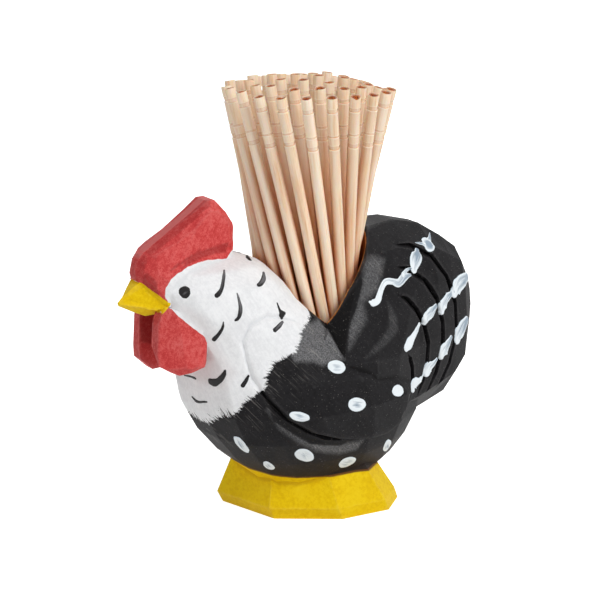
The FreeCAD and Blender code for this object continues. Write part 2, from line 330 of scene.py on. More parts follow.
@dataclass(frozen=True)
class PaintedLimewood:
    """Limewood, whittled with a knife and painted with acrylics.

    The knife leaves flat facets with crisp arrises, and the thin matt coats show brush streaks, a dry-brushed
    edge where black meets white, and paler lines where hands have rubbed the arrises. Creases, some facets and
    the white behind the wattle get painted shade.
    """

    name: str = "painted_limewood"
    ior: float = 1.46  # the acrylic binder
    gloss: float = 0.12  # a quarter of the usual 0.5, because the thin coats dry chalky
    rough_play: float = 0.16  # how much the tooth changes the roughness
    edge_softness: float = 0.05  # mm over which one coat turns to the next
    edge_wander: float = 0.3  # mm that a brushed edge strays
    edge_pitch: float = 0.9  # strays per mm
    streak_length: float = 0.12  # brush streaks per mm along the bristles
    streak_width: float = 0.5  # mm between brush streaks
    mottle_size: float = 0.7  # mm, the cloudiness of a thin coat over raised grain
    speckle_size: float = 0.2  # mm, the tooth of matt paint, drawn a little coarse so that it shows
    cloud_pitch: float = 0.22  # broad clouds per mm
    cloud_share: float = 0.3  # share of the tone that they give
    thin: Ramp = Ramp(0.46, 0.66)  # tone over which a coat turns light
    thick: Ramp = Ramp(0.52, 0.34)  # tone over which it turns deep
    rub_pitch: float = 1.6  # rubbed places per mm
    rub_play: float = 1.1  # how much more one place is rubbed than the next
    rubbed: Ramp = Ramp(1.0, 1.5)  # sharpness, with that play, at which an arris shows wear
    pooled_and_shaded: Ramp = Ramp(-0.15, -0.6, high=0.95)  # sharpness below 0 at which a crease gets painted shade, partly pooled paint
    shaded: Ramp = Ramp(0.0, -1.0)  # facet tone below 0, where a facet gets painted shade
    red_dust: str = "#C46C6A"
    red_dusty: Ramp = Ramp(0.0, 1.0, high=0.75)  # dustiness at which the red turns pale
    # painted shade, with a pink cast from the wattle, on the white behind it
    wattle_shade: str = "#D2C6C5"
    wattle_shade_share: float = 0.28
    varnish_line: str = "#7E521C"
    varnish_side: float = 0.12  # mm that the brown line along the yellow lies outside it
    varnished: Ramp = Ramp(0.3, 0.1, high=0.7)  # mm from the line's middle, where it fades and where it is full
    ridge_way: Point = (0.55, 0.1, 0.8)  # the way the bristles' ridges run
    ridge_pitch: tuple[float, float] = (0.15, 2.6)  # ridges per mm along it and across it
    relief: float = 0.05  # mm of height in the ridges and the tooth
    relief_share: float = 0.35  # how strongly it shades
    hair_width: float = 0.55  # mm between tufts; the single bristle marks within them are finer
    hair_lean: float = 0.35  # tufts that a bristle mark drifts sideways in each mm
    hair_length: float = 0.16  # changes in a tuft per mm along it
    hair: Ramp = Ramp(0.36, 0.70)  # noise over which a bristle is dry or loaded
    hair_bite: float = 1.7  # power that leaves few bristles long
    hair_back: float = 0.2  # share of the reach by which dry bristles leave the edge short
    hair_reach: Ramp = Ramp(8.0, 20.0, 3.2, 1.9)  # mm from the breast's middle, and mm that bristles drag black out
    # the grey of a dry, dusty facet
    facet_tone: str = "#8A8A8C"
    scratch: str = "#989490"
    scratch_turn: float = 0.72  # radians that the scratches lean from upright
    scratch_pitch: Point = (5.0, 0.5, 0.2)  # waves per mm across the scratches, through them and along them
    dry_hair: float = 0.1  # how much the scratches break up the dry facets
    dry: Ramp = Ramp(0.405, 0.785, 0.2, 1.0)  # tooth at which a dry facet shows its grey
    near_white: Ramp = Ramp(0.0, 8.0, 0.6, 0.0)  # mm from the white, and how scratched the black is there
    scratched: Ramp = Ramp(0.61, 0.69, high=0.45)  # noise at which a scratch shows
    chip_pitch: float = 4.6  # small pale chips per mm
    chipped: Ramp = Ramp(0.70, 0.78, high=0.5)  # noise at which a chip shows
    # the black turns brown low on the trunk: thin paint over the wood there, and partly a painted reflection of the
    # yellow foot
    low_brown: str = "#33261C"
    low: Ramp = Ramp(15.0, 8.0, high=0.5)  # mm above the floor over which the black turns brown

    def colour(self, shader: Shader, coat: Coat, ground: Ground) -> Value:
        """One coat's colour: its light and deep tones, specks, rubbed arrises, and painted shade in creases, partly
        pooled paint, and on shaded facets.

        Args:
            shader: The material.
            coat: The coat.
            ground: What all the coats share.

        Returns:
            The colour.
        """
        lines = shader.drawn_out(coat.bristles, self.streak_length, 1 / self.streak_width)
        streak = shader.add("ShaderNodeTexNoise", {"Vector": lines, "Scale": 1.0, "Detail": 3.0, "Roughness": 0.65})
        tone: Value = 0.0
        for part, share in (
            (streak, coat.streaks),
            (ground.mottle, 1 - self.cloud_share - coat.streaks),
            (ground.cloud, self.cloud_share),
            (ground.grit, coat.speckle / 2),
        ):
            tone = shader.add("ShaderNodeMath", {0: part, 1: share, 2: tone}, operation="MULTIPLY_ADD")
        thin = shader.add("ShaderNodeMapRange", self.thin.of(tone))
        thick = shader.add("ShaderNodeMapRange", self.thick.of(tone))
        worn = shader.add("ShaderNodeMath", {0: ground.rubbed, 1: coat.wear}, operation="MULTIPLY")
        # painted shade in creases, partly pooled paint, and on the facets that the patches shade
        shade_share = shader.add("ShaderNodeMath", {0: ground.pooled_and_shaded, 1: coat.pooling_and_shade}, operation="MULTIPLY")
        shade_share = shader.add("ShaderNodeMath", {0: shade_share, 1: ground.shade}, operation="MAXIMUM")
        mixed: Value = linear(coat.body)
        for share, tint in ((thin, coat.light), (thick, coat.deep), (worn, coat.worn), (shade_share, coat.crease)):
            mixed = shader.add("ShaderNodeMix", {"Factor": share, "A": mixed, "B": linear(tint)}, data_type="RGBA")
        return mixed

    def cover(self, shader: Shader, depth: bpy.types.NodeSocket) -> bpy.types.NodeSocket:
        """How much of a place a coat covers, from the depth inside its edge in millimetres."""
        edge = Ramp(-self.edge_softness, self.edge_softness)
        return shader.add("ShaderNodeMapRange", edge.of(depth), interpolation_type="SMOOTHSTEP")

    def ground(self, shader: Shader, speck: bpy.types.NodeSocket, facet_tone: bpy.types.NodeSocket) -> Ground:
        """Mixes what all the coats share.

        Args:
            shader: The material.
            speck: The fine tooth of the paint, 0 to 1.
            facet_tone: How dusty the place is, or below 0 how much painted shade it gets.

        Returns:
            The shared numbers.
        """
        mottle = {"Vector": shader.place, "Scale": 1 / self.mottle_size, "Detail": 4.0, "Roughness": 0.7}
        arris = shader.attribute("arris")
        patchy = shader.add("ShaderNodeTexNoise", {"Vector": shader.place, "Scale": self.rub_pitch, "Detail": 5.0})
        rubbed = shader.add("ShaderNodeMath", {0: patchy, 1: self.rub_play, 2: arris}, operation="MULTIPLY_ADD")
        return Ground(
            cloud=shader.add("ShaderNodeTexNoise", {"Vector": shader.place, "Scale": self.cloud_pitch, "Detail": 3.0}),
            mottle=shader.add("ShaderNodeTexNoise", mottle),
            grit=shader.add("ShaderNodeMath", {0: speck, 1: 0.5}, operation="SUBTRACT"),
            rubbed=shader.add("ShaderNodeMapRange", self.rubbed.of(rubbed)),
            pooled_and_shaded=shader.add("ShaderNodeMapRange", self.pooled_and_shaded.of(arris)),
            shade=shader.add("ShaderNodeMapRange", self.shaded.of(facet_tone)),
        )

    def build(self) -> bpy.types.Material:
        """Mixes the material.

        Returns:
            The material.
        """
        shader = Shader(self.name)
        tooth = {"Vector": shader.place, "Scale": 1 / self.speckle_size, "Detail": 2.0}
        speck = shader.add("ShaderNodeTexNoise", tooth)
        # dust on the dry facets above 0, painted shade below 0
        facet_tone = shader.attribute("facet_tone")
        ground = self.ground(shader, speck, facet_tone)
        wander = shader.add("ShaderNodeTexNoise", {"Vector": shader.place, "Scale": self.edge_pitch, "Detail": 4.0})
        wander = shader.add("ShaderNodeMath", {0: wander, 1: 0.5}, operation="SUBTRACT")
        covers = {Zone.BLACK: self.cover(shader, self.feathered(shader))}
        for zone in (Zone.RED, Zone.YELLOW, Zone.BARE):
            strayed = {0: wander, 1: self.edge_wander, 2: shader.attribute(zone.value)}
            covers[zone] = self.cover(shader, shader.add("ShaderNodeMath", strayed, operation="MULTIPLY_ADD"))

        colour = self.colour(shader, WHITE_COAT, ground)
        # painted shade, with a pink cast from the wattle, on the white behind it
        wattle_shade = shader.add("ShaderNodeMath", {0: shader.attribute("wattle_shade"), 1: self.wattle_shade_share}, operation="MULTIPLY")
        colour = shader.add("ShaderNodeMix", {"Factor": wattle_shade, "A": colour, "B": linear(self.wattle_shade)}, data_type="RGBA")
        roughness: Value = WHITE_COAT.roughness
        for zone, coat in COATS.items():
            tint = self.colour(shader, coat, ground)
            if zone is Zone.BLACK:
                tint = self.dusted(shader, tint, speck, facet_tone)
            elif zone is Zone.RED:
                pale = shader.add("ShaderNodeMapRange", self.red_dusty.of(facet_tone))
                faded = {"Factor": pale, "A": tint, "B": linear(self.red_dust)}
                tint = shader.add("ShaderNodeMix", faded, data_type="RGBA")
            colour = shader.add("ShaderNodeMix", {"Factor": covers[zone], "A": colour, "B": tint}, data_type="RGBA")
            roughness = shader.add("ShaderNodeMix", {"Factor": covers[zone], "A": roughness, "B": coat.roughness})
        outside = {0: shader.attribute(Zone.YELLOW.value), 1: self.varnish_side}
        seam = shader.add("ShaderNodeMath", outside, operation="ADD")
        seam = shader.add("ShaderNodeMath", {0: seam}, operation="ABSOLUTE")
        seam = shader.add("ShaderNodeMapRange", self.varnished.of(seam))
        seam = shader.add("ShaderNodeMath", {0: seam, 1: covers[Zone.BLACK]}, operation="MULTIPLY")
        lined = {"Factor": seam, "A": colour, "B": linear(self.varnish_line)}
        colour = shader.add("ShaderNodeMix", lined, data_type="RGBA")
        rougher = {0: ground.grit, 1: self.rough_play, 2: roughness}
        roughness = shader.add("ShaderNodeMath", rougher, operation="MULTIPLY_ADD")

        ridges = shader.drawn_out(self.ridge_way, *self.ridge_pitch)
        ridge = shader.add("ShaderNodeTexNoise", {"Vector": ridges, "Scale": 1.0, "Detail": 3.0})
        height = shader.add("ShaderNodeMath", {0: ridge, 1: speck}, operation="ADD")
        relief = {"Strength": self.relief_share, "Distance": self.relief * MM, "Height": height}
        bump = shader.add("ShaderNodeBump", relief, output="Normal")
        return shader.finish(
            {
                "Base Color": colour,
                "Roughness": roughness,
                "Normal": bump,
                "IOR": self.ior,
                "Specular IOR Level": self.gloss,
            }
        )

    def feathered(self, shader: Shader) -> bpy.types.NodeSocket:
        """The depth inside the black coat, drawn out at its edge by single bristles that ran dry.

        Args:
            shader: The material.

        Returns:
            The depth in millimetres, below 0 where the coat doesn't reach.
        """
        depth = shader.attribute(Zone.BLACK.value)
        run = shader.attribute("edge_run")
        place = shader.add("ShaderNodeMath", {0: run, 1: 1 / self.hair_width}, operation="MULTIPLY")
        place = shader.add("ShaderNodeMath", {0: depth, 1: self.hair_lean, 2: place}, operation="MULTIPLY_ADD")
        along = shader.add("ShaderNodeMath", {0: depth, 1: self.hair_length}, operation="MULTIPLY")
        place = shader.add("ShaderNodeCombineXYZ", {"X": place, "Y": along})
        tufts = {"Vector": place, "Scale": 1.0, "Detail": 4.0, "Roughness": 0.8, "Lacunarity": 2.3}
        hair = shader.add("ShaderNodeTexNoise", tufts)
        hair = shader.add("ShaderNodeMapRange", self.hair.of(hair))
        hair = shader.add("ShaderNodeMath", {0: hair, 1: self.hair_bite}, operation="POWER")
        hair = shader.add("ShaderNodeMath", {0: hair, 1: self.hair_back}, operation="SUBTRACT")
        away = shader.add("ShaderNodeMath", {0: run}, operation="ABSOLUTE")
        reach = shader.add("ShaderNodeMapRange", self.hair_reach.of(away))
        return shader.add("ShaderNodeMath", {0: hair, 1: reach, 2: depth}, operation="MULTIPLY_ADD")

    def dusted(
        self, shader: Shader, tint: Value, speck: bpy.types.NodeSocket, facet_tone: bpy.types.NodeSocket
    ) -> Value:
        """Adds to the black the dry grey facets, the pale scratches and chips, and the brown low on the trunk.

        Args:
            shader: The material.
            tint: The black coat's colour.
            speck: The fine tooth of the paint, 0 to 1.
            facet_tone: How dusty the place is, or below 0 how much painted shade it gets.

        Returns:
            The black coat's colour with all of them.
        """
        lean = {"Vector": shader.place, "Angle": self.scratch_turn}
        turned = shader.add("ShaderNodeVectorRotate", lean, rotation_type="Y_AXIS")
        lines = shader.add("ShaderNodeVectorMath", {0: turned, 1: self.scratch_pitch}, operation="MULTIPLY")
        hair = shader.add("ShaderNodeTexNoise", {"Vector": lines, "Scale": 1.0, "Detail": 1.5})
        dry = shader.add("ShaderNodeMath", {0: hair, 1: self.dry_hair, 2: speck}, operation="MULTIPLY_ADD")
        dry = shader.add("ShaderNodeMapRange", self.dry.of(dry))
        dusty = shader.add("ShaderNodeMath", {0: facet_tone, 1: 0.0}, operation="MAXIMUM")
        dry = shader.add("ShaderNodeMath", {0: dry, 1: dusty}, operation="MULTIPLY")
        near = shader.add("ShaderNodeMapRange", self.near_white.of(shader.attribute(Zone.BLACK.value)))
        near = shader.add("ShaderNodeMath", {0: dusty, 1: near}, operation="MAXIMUM")
        line = shader.add("ShaderNodeMapRange", self.scratched.of(hair))
        line = shader.add("ShaderNodeMath", {0: line, 1: near}, operation="MULTIPLY")
        chip = shader.add("ShaderNodeTexNoise", {"Vector": shader.place, "Scale": self.chip_pitch, "Detail": 1.0})
        chip = shader.add("ShaderNodeMapRange", self.chipped.of(chip))
        low = shader.add("ShaderNodeSeparateXYZ", {"Vector": shader.place}, output="Z")
        low = shader.add("ShaderNodeMapRange", self.low.of(low))
        for share, over in ((dry, self.facet_tone), (line, self.scratch), (chip, self.scratch), (low, self.low_brown)):
            tint = shader.add("ShaderNodeMix", {"Factor": share, "A": tint, "B": linear(over)}, data_type="RGBA")
        return tint


@dataclass(frozen=True)
class BrushedMark:
    """A single loaded stroke or dab of acrylic: thick, with a rolled rim and the drag of the bristles in it."""

    name: str
    body: str
    rim: str
    smear: str
    roughness: float
    smear_share: float
    drag_pitch: Point = (0.3, 1.9, 1.0)  # bristle marks per mm along the stroke and across it
    thinned: Ramp = Ramp(0.86, 1.18)  # drag and dryness together, at which the paint thins
    middle: Ramp = Ramp(0.15, 0.55)  # share of the way in from the edge, where the paint may thin
    rolled: Ramp = Ramp(0.16, 0.02, high=0.8)  # share of the way in, where the rolled rim shows
    relief: float = 0.05  # mm of height in the bristle marks
    relief_share: float = 0.4  # how strongly it shades
    ior: float = 1.46  # the acrylic binder
    gloss: float = 0.2  # thick paint shines a little more than thin

    def build(self) -> bpy.types.Material:
        """Mixes the material.

        Returns:
            The material.
        """
        shader = Shader(self.name)
        stroke = shader.add("ShaderNodeAttribute", output="Vector", attribute_name="stroke")
        drag = shader.add("ShaderNodeVectorMath", {0: stroke, 1: self.drag_pitch}, operation="MULTIPLY")
        drag = shader.add("ShaderNodeTexNoise", {"Vector": drag, "Scale": 1.0, "Detail": 3.0, "Roughness": 0.6})
        inside = shader.attribute("inside")
        thin = shader.add("ShaderNodeMath", {0: drag, 1: shader.attribute("dry")}, operation="ADD")
        thin = shader.add("ShaderNodeMapRange", self.thinned.of(thin))
        middle = shader.add("ShaderNodeMapRange", self.middle.of(inside))
        thin = shader.add("ShaderNodeMath", {0: thin, 1: middle}, operation="MULTIPLY")
        thin = shader.add("ShaderNodeMath", {0: thin, 1: self.smear_share}, operation="MULTIPLY")
        rim = shader.add("ShaderNodeMapRange", self.rolled.of(inside))
        colour: Value = linear(self.body)
        for share, over in ((thin, self.smear), (rim, self.rim)):
            colour = shader.add("ShaderNodeMix", {"Factor": share, "A": colour, "B": linear(over)}, data_type="RGBA")
        relief = {"Strength": self.relief_share, "Distance": self.relief * MM, "Height": drag}
        bump = shader.add("ShaderNodeBump", relief, output="Normal")
        return shader.finish(
            {
                "Base Color": colour,
                "Roughness": self.roughness,
                "Normal": bump,
                "IOR": self.ior,
                "Specular IOR Level": self.gloss,
            }
        )


MARK_WHITE = BrushedMark(
    "white_acrylic_dab", body="#EBF2F6", rim="#D5E5F0", smear="#8194A6", roughness=0.45, smear_share=0.9
)
MARK_BLACK = BrushedMark(
    "black_acrylic_stroke", body="#1E1C1D", rim="#353334", smear="#6E6D70", roughness=0.5, smear_share=0.85
)


@dataclass(frozen=True)
class TurnedBirch:
    """White birch, milled round and left raw: pale, dry and slightly woolly, with fine fibres along each pick.

    The cut heads soak up light as end grain does, so they look scorched brown beside the pale sides.
    """

    name: str = "turned_birch"
    body: str = "#F6E1C6"
    light: str = "#FCF1E2"
    deep: str = "#E3B588"
    # painted shade in a turned groove
    groove: str = "#A8622C"
    # painted highlight on a groove's lip
    lip: str = "#FBF0DE"
    core: str = "#F0B47A"  # light that has bounced from pick to pick in the bundle's middle
    nook: str = "#E0843C"  # the same close between two picks
    end_grain: str = "#B8601E"
    pith: str = "#6A2410"
    apart: Point = (37.0, 61.0, 17.0)  # mm of shift in the grain from one pick to another
    fibre_length: float = 0.16  # fibres per mm along the pick
    fibre_width: float = 0.16  # mm; real fibres are finer, drawn so that they show
    band_pitch: tuple[float, float] = (0.07, 1.1)  # bands of late wood per mm, along the pick and across it
    pale: Ramp = Ramp(0.48, 0.68)  # tone over which the wood turns light
    dark: Ramp = Ramp(0.47, 0.30)  # tone over which it turns deep
    warm_share: float = 0.3  # how far a pick's own tint darkens it
    lip_highlight: Ramp = Ramp(0.0, -1.0)  # groove shading below 0, where a groove's lip stands up and gets a painted highlight
    nook_reach: float = 2.5  # mm within which another pick shades a place
    nook_open: Ramp = Ramp(0.85, 0.25, high=0.85)  # how open a place is when it starts to look shaded, and fully
    core_share: float = 0.5
    pore_pitch: float = 2.6  # open pores per mm of sawn end
    porous: Ramp = Ramp(0.42, 0.60)  # noise over which a sawn end turns to pith
    relief: float = 0.05  # mm of height in the fibres and pores
    relief_share: float = 0.5  # how strongly it shades
    smoothest: float = 0.6  # roughness between the fibres
    rough_play: float = 0.2  # how much the fibres add to it
    ior: float = 1.5  # wood's fibres
    gloss: float = 0.2  # raw wood hardly shines
    glow: float = 0.3  # share of the light that spreads inside the wood
    glow_depth: float = 0.8  # mm that it spreads
    glow_tint: Point = (1.0, 0.42, 0.14)  # how far red, green and blue get

    def build(self) -> bpy.types.Material:
        """Mixes the material.

        Returns:
            The material.
        """
        shader = Shader(self.name)
        tint = shader.attribute("tint")
        offset = shader.add("ShaderNodeVectorMath", {"Vector": self.apart, "Scale": tint}, operation="SCALE")
        shader.place = shader.add("ShaderNodeVectorMath", {0: shader.place, 1: offset}, operation="ADD")
        upright = (0.0, 0.0, 1.0)
        lines = shader.drawn_out(upright, self.fibre_length, 1 / self.fibre_width)
        fibre = shader.add("ShaderNodeTexNoise", {"Vector": lines, "Scale": 1.0, "Detail": 3.0, "Roughness": 0.7})
        bands = shader.drawn_out(upright, *self.band_pitch)
        band = shader.add("ShaderNodeTexNoise", {"Vector": bands, "Scale": 1.0, "Detail": 2.0})
        tone = shader.add("ShaderNodeMath", {0: fibre, 1: band}, operation="ADD")
        tone = shader.add("ShaderNodeMath", {0: tone, 1: 0.5}, operation="MULTIPLY")
        pale = shader.add("ShaderNodeMapRange", self.pale.of(tone))
        dark = shader.add("ShaderNodeMapRange", self.dark.of(tone))
        warm = shader.add("ShaderNodeMath", {0: tint, 1: self.warm_share}, operation="MULTIPLY")
        # painted shade in the turned grooves, and a painted highlight on their lips
        groove_shading = shader.attribute("groove_shading")
        lip = shader.add("ShaderNodeMapRange", self.lip_highlight.of(groove_shading))
        gap = shader.add("ShaderNodeAmbientOcclusion", {"Distance": self.nook_reach * MM}, output="AO", samples=4)
        nook = shader.add("ShaderNodeMapRange", self.nook_open.of(gap))
        core = shader.add("ShaderNodeMath", {0: shader.attribute("core"), 1: self.core_share}, operation="MULTIPLY")
        colour: Value = linear(self.body)
        for share, over in (
            (pale, self.light),
            (dark, self.deep),
            (warm, self.deep),
            (groove_shading, self.groove),
            (lip, self.lip),
            (nook, self.nook),
            (core, self.core),
        ):
            colour = shader.add("ShaderNodeMix", {"Factor": share, "A": colour, "B": linear(over)}, data_type="RGBA")
        pores = shader.add("ShaderNodeTexNoise", {"Vector": shader.place, "Scale": self.pore_pitch, "Detail": 3.0})
        porous = shader.add("ShaderNodeMapRange", self.porous.of(pores))
        sawn = {"Factor": porous, "A": linear(self.end_grain), "B": linear(self.pith)}
        head = shader.add("ShaderNodeMix", sawn, data_type="RGBA")
        headed = {"Factor": shader.attribute("end"), "A": colour, "B": head}
        colour = shader.add("ShaderNodeMix", headed, data_type="RGBA")
        height = shader.add("ShaderNodeMath", {0: fibre, 1: pores}, operation="ADD")
        relief = {"Strength": self.relief_share, "Distance": self.relief * MM, "Height": height}
        bump = shader.add("ShaderNodeBump", relief, output="Normal")
        woolly = {0: fibre, 1: self.rough_play, 2: self.smoothest}
        rough = shader.add("ShaderNodeMath", woolly, operation="MULTIPLY_ADD")
        return shader.finish(
            {
                "Base Color": colour,
                "Roughness": rough,
                "Normal": bump,
                "IOR": self.ior,
                "Specular IOR Level": self.gloss,
                "Subsurface Weight": self.glow,
                "Subsurface Radius": self.glow_tint,
                "Subsurface Scale": self.glow_depth * MM,
            }
        )


# ---- the carved hen ---------------------------------------------------------------------------------
def depth_in(outline: Outline, points: np.ndarray) -> np.ndarray:
    """How deep each point is inside an outline, or with a minus sign how far outside.

    Args:
        outline: The corners, in order.
        points: One row of two numbers per point.

    Returns:
        The depths.
    """
    corners = np.array(outline, float)
    nearest = np.full(len(points), np.inf)
    inside = np.zeros(len(points), bool)
    for start, end in zip(corners, np.roll(corners, -1, axis=0), strict=True):
        run = end - start
        share = np.clip((points - start) @ run / (run @ run), 0, 1)
        gap = points - (start + share[:, None] * run)
        nearest = np.minimum(nearest, np.hypot(gap[:, 0], gap[:, 1]))
        spans = (start[1] > points[:, 1]) != (end[1] > points[:, 1])
        rise = end[1] - start[1] or 1e-9  # a level side spans no point, but must not divide by 0
        inside ^= spans & (points[:, 0] < start[0] + (points[:, 1] - start[1]) * run[0] / rise)
    return np.where(inside, nearest, -nearest)


def risen(outline: Outline, points: np.ndarray, fade: float) -> np.ndarray:
    """How far a patch has come up, 0 to 1, over a fade in mm that has its middle on the outline."""
    return np.clip(0.5 + depth_in(outline, points) / fade, 0, 1)


@dataclass(frozen=True)
class Patch:
    """A facet where a coat looks different: dry, pale and dusty, or darkened with painted shade."""

    strength: float  # up to 1 the palest, down to -1 the darkest
    side: float  # mm from the middle plane, the least
    outline: Outline  # seen from the side
    fade: float = 0.4  # mm over which it comes up
    side_most: float = 99.0  # mm from the middle plane, the most


@dataclass(frozen=True)
class PaintPlan:
    """Where each coat ends, in millimetres. Outlines are seen from the side, so both flanks share them."""

    comb: Outline = (
        (-15.0, 54.5), (-18.7, 54.5), (-19.5, 54.1), (-20.5, 53.5), (-23.0, 53.8), (-25.2, 54.0),
        (-27.0, 53.9), (-29.7, 53.5), (-32.0, 52.6), (-33.5, 51.7), (-34.4, 50.2), (-34.5, 48.5),
        (-33.7, 46.9), (-37.6, 50.7), (-40.0, 52.0), (-42.0, 68.0), (-15.0, 68.0),
    )
    beak: Outline = (
        (-33.6, 46.8), (-37.6, 50.7), (-44.0, 50.7), (-44.0, 42.6), (-36.5, 42.6), (-35.1, 45.2),
        (-34.2, 46.4),
    )
    beak_corner: Outline = ((-33.5, 47.3), (-33.9, 46.5), (-34.8, 45.5), (-36.4, 45.0), (-37.0, 47.4))
    beak_root: Outline = ((-32.5, 44.3), (-36.0, 43.4), (-36.6, 47.0), (-32.5, 47.0))  # its underside, by the throat
    beak_root_half: float = 2.2  # mm to each side of the middle
    beak_over: float = 0.15  # mm that the yellow runs past the beak's outline
    throat: Outline = (
        (-26.0, 32.5), (-29.5, 31.2), (-40.0, 31.2), (-40.0, 41.0), (-36.0, 43.6), (-33.0, 44.6),
        (-26.0, 44.6),
    )
    throat_half: float = 2.55  # mm to each side of the middle
    wattle: Outline = (
        (-34.1, 46.7), (-36.0, 43.4), (-36.6, 37.0), (-36.3, 34.3), (-33.4, 31.6), (-30.3, 31.7),
        (-28.2, 33.0), (-27.1, 35.5), (-27.1, 38.7), (-28.3, 41.6), (-31.0, 45.1),
    )
    trunk: tuple[tuple[float, float, float, float, float], ...] = (
        (24.0, -26.5, -3.0, 18.2, 2.25), (30.0, -27.5, -4.5, 17.9, 2.25), (35.0, -28.4, -8.0, 16.0, 2.25),
        (40.0, -30.6, -13.0, 13.6, 2.25), (45.0, -34.2, -18.0, 11.2, 2.6), (49.0, -35.4, -21.0, 9.9, 2.8),
    )  # the trunk's section at each height: z, front, widest place, half width and squareness
    foot_top: Outline = (
        (-18.0, 11.6), (-15.2, 10.1), (-11.2, 9.2), (-6.9, 8.8), (-1.6, 8.4), (4.0, 8.4), (11.0, 7.8),
        (17.0, 7.4),
    )
    saddle: tuple[Point, ...] = (
        (-24.6, 0.0, 20.9), (-24.5, 3.2, 21.4), (-24.3, 8.1, 24.2), (-22.8, 11.1, 25.3),
        (-22.0, 12.0, 27.3), (-19.9, 13.6, 29.3), (-18.7, 14.9, 30.5), (-18.1, 14.4, 32.8),
        (-16.4, 14.5, 35.1), (-12.1, 15.0, 36.6), (-10.9, 14.5, 37.9), (-9.6, 13.3, 39.9),
        (-6.3, 11.4, 41.6), (-5.6, 10.8, 44.0),
    )  # where black meets white on one flank, from the breast up to the notch
    saddle_centre: float = -8.0  # x round which the line turns
    saddle_steps: int = 20  # fine steps to each point of the line
    behind: float = 90.0  # z above everything, since all is black behind the notch
    patches: tuple[Patch, ...] = (
        Patch(  # the walls of the notch, in painted shade
            strength=-1.0, side=10.2, fade=0.3,
            outline=(
                (-4.2, 40.9), (-2.4, 39.6), (-1.2, 41.0), (0.2, 42.5), (2.9, 45.7), (5.1, 48.5),
                (4.7, 46.4), (2.4, 42.1), (0.8, 40.1), (0.1, 38.8), (-1.0, 35.8), (-1.7, 33.8),
                (-2.3, 36.5), (-3.5, 39.3),
            ),
        ),
        Patch(  # in front of the notch
            strength=0.95, side=11.0, fade=0.9,
            outline=(
                (-6.9, 40.6), (-4.6, 40.9), (-3.7, 39.1), (-3.0, 36.7), (-1.9, 33.7), (-3.9, 33.8),
                (-7.1, 33.4), (-8.7, 34.3), (-12.6, 34.9), (-13.6, 36.6), (-11.2, 39.6), (-8.2, 41.8),
            ),
        ),
        Patch(  # behind the notch
            strength=0.62, side=9.5, fade=1.4,
            outline=(
                (-0.7, 35.4), (0.2, 38.8), (0.9, 40.1), (2.5, 42.1), (4.9, 46.4), (6.7, 50.3), (8.8, 51.1),
                (11.4, 50.0), (8.5, 44.9), (4.4, 43.2), (4.3, 40.1), (2.6, 38.5), (-0.3, 35.6),
            ),
        ),
        Patch(  # the hollow behind the wing
            strength=0.22, side=12.0, fade=0.8,
            outline=(
                (2.6, 33.4), (5.5, 34.3), (8.9, 35.2), (11.9, 36.8), (12.0, 39.3), (10.2, 42.5),
                (9.6, 37.9), (5.0, 35.2),
            ),
        ),
        Patch(  # below the wing
            strength=0.8, side=13.0, fade=1.1,
            outline=(
                (-17.6, 27.1), (-16.8, 23.9), (-13.0, 20.8), (-9.1, 18.1), (-2.5, 16.5), (2.9, 16.2),
                (1.8, 14.4), (-1.8, 14.2), (-7.4, 15.9), (-11.6, 18.6), (-15.9, 22.3), (-18.1, 26.2),
            ),
        ),
        Patch(  # painted shadow in the cut under the wing's edge
            strength=-0.9, side=13.5, fade=0.7,
            outline=(
                (-18.5, 29.5), (-17.2, 26.5), (-15.1, 23.7), (-12.3, 21.3), (-9.3, 19.3), (-5.2, 17.9),
                (-1.5, 16.9), (-2.5, 16.5), (-9.1, 18.1), (-13.0, 20.8), (-16.8, 23.9), (-18.1, 27.4),
            ),
        ),
        Patch(  # the tail's top edge
            strength=0.3, side=0.0, fade=0.8,
            outline=((9.4, 57.0), (24.2, 56.6), (24.2, 55.2), (16.2, 55.6), (9.5, 54.8)),
        ),
        Patch(  # painted shade between the wattles
            strength=-0.5, side=0.0, side_most=2.7, fade=0.3,
            outline=((-32.8, 44.6), (-36.0, 43.6), (-35.6, 38.0), (-33.2, 37.2)),
        ),
        Patch(  # painted shade on the wattles' fronts
            strength=-0.25, side=2.7, side_most=4.85, fade=0.3,
            outline=((-34.4, 45.4), (-37.5, 45.0), (-37.5, 33.0), (-34.6, 33.0)),
        ),
        Patch(  # the comb's narrow top
            strength=1.0, side=0.0, side_most=1.05, fade=0.4,
            outline=((-21.5, 66.0), (-38.5, 57.8), (-38.5, 55.0), (-36.2, 55.4), (-22.0, 63.9)),
        ),
        Patch(  # painted shade on the comb's flank below its top
            strength=-0.32, side=1.05, side_most=2.9, fade=0.4,
            outline=(
                (-22.6, 65.2), (-23.1, 63.3), (-24.8, 62.2), (-30.3, 59.1), (-35.9, 55.9), (-37.0, 57.0),
                (-29.5, 61.6),
            ),
        ),
        Patch(  # painted shade on the comb's front
            strength=-0.3, side=0.0, side_most=2.6, fade=0.4,
            outline=((-36.4, 56.4), (-38.9, 53.2), (-38.7, 50.4), (-37.3, 51.8), (-36.4, 54.8)),
        ),
        Patch(  # painted shade on the comb's foot above the beak
            strength=-0.5, side=2.3, side_most=4.5, fade=0.3,
            outline=(
                (-37.5, 52.3), (-36.9, 53.0), (-35.7, 51.4), (-35.2, 48.2), (-36.2, 49.2), (-37.6, 50.9),
            ),
        ),
        Patch(  # painted shade in the crease above the comb's lip
            strength=-0.42, side=2.0, fade=0.3,
            outline=(
                (-19.2, 55.6), (-20.3, 54.5), (-22.9, 54.7), (-25.7, 54.5), (-28.8, 54.0), (-31.2, 53.1),
                (-29.4, 54.4), (-26.9, 55.2), (-24.0, 55.8), (-19.2, 56.2),
            ),
        ),
    )
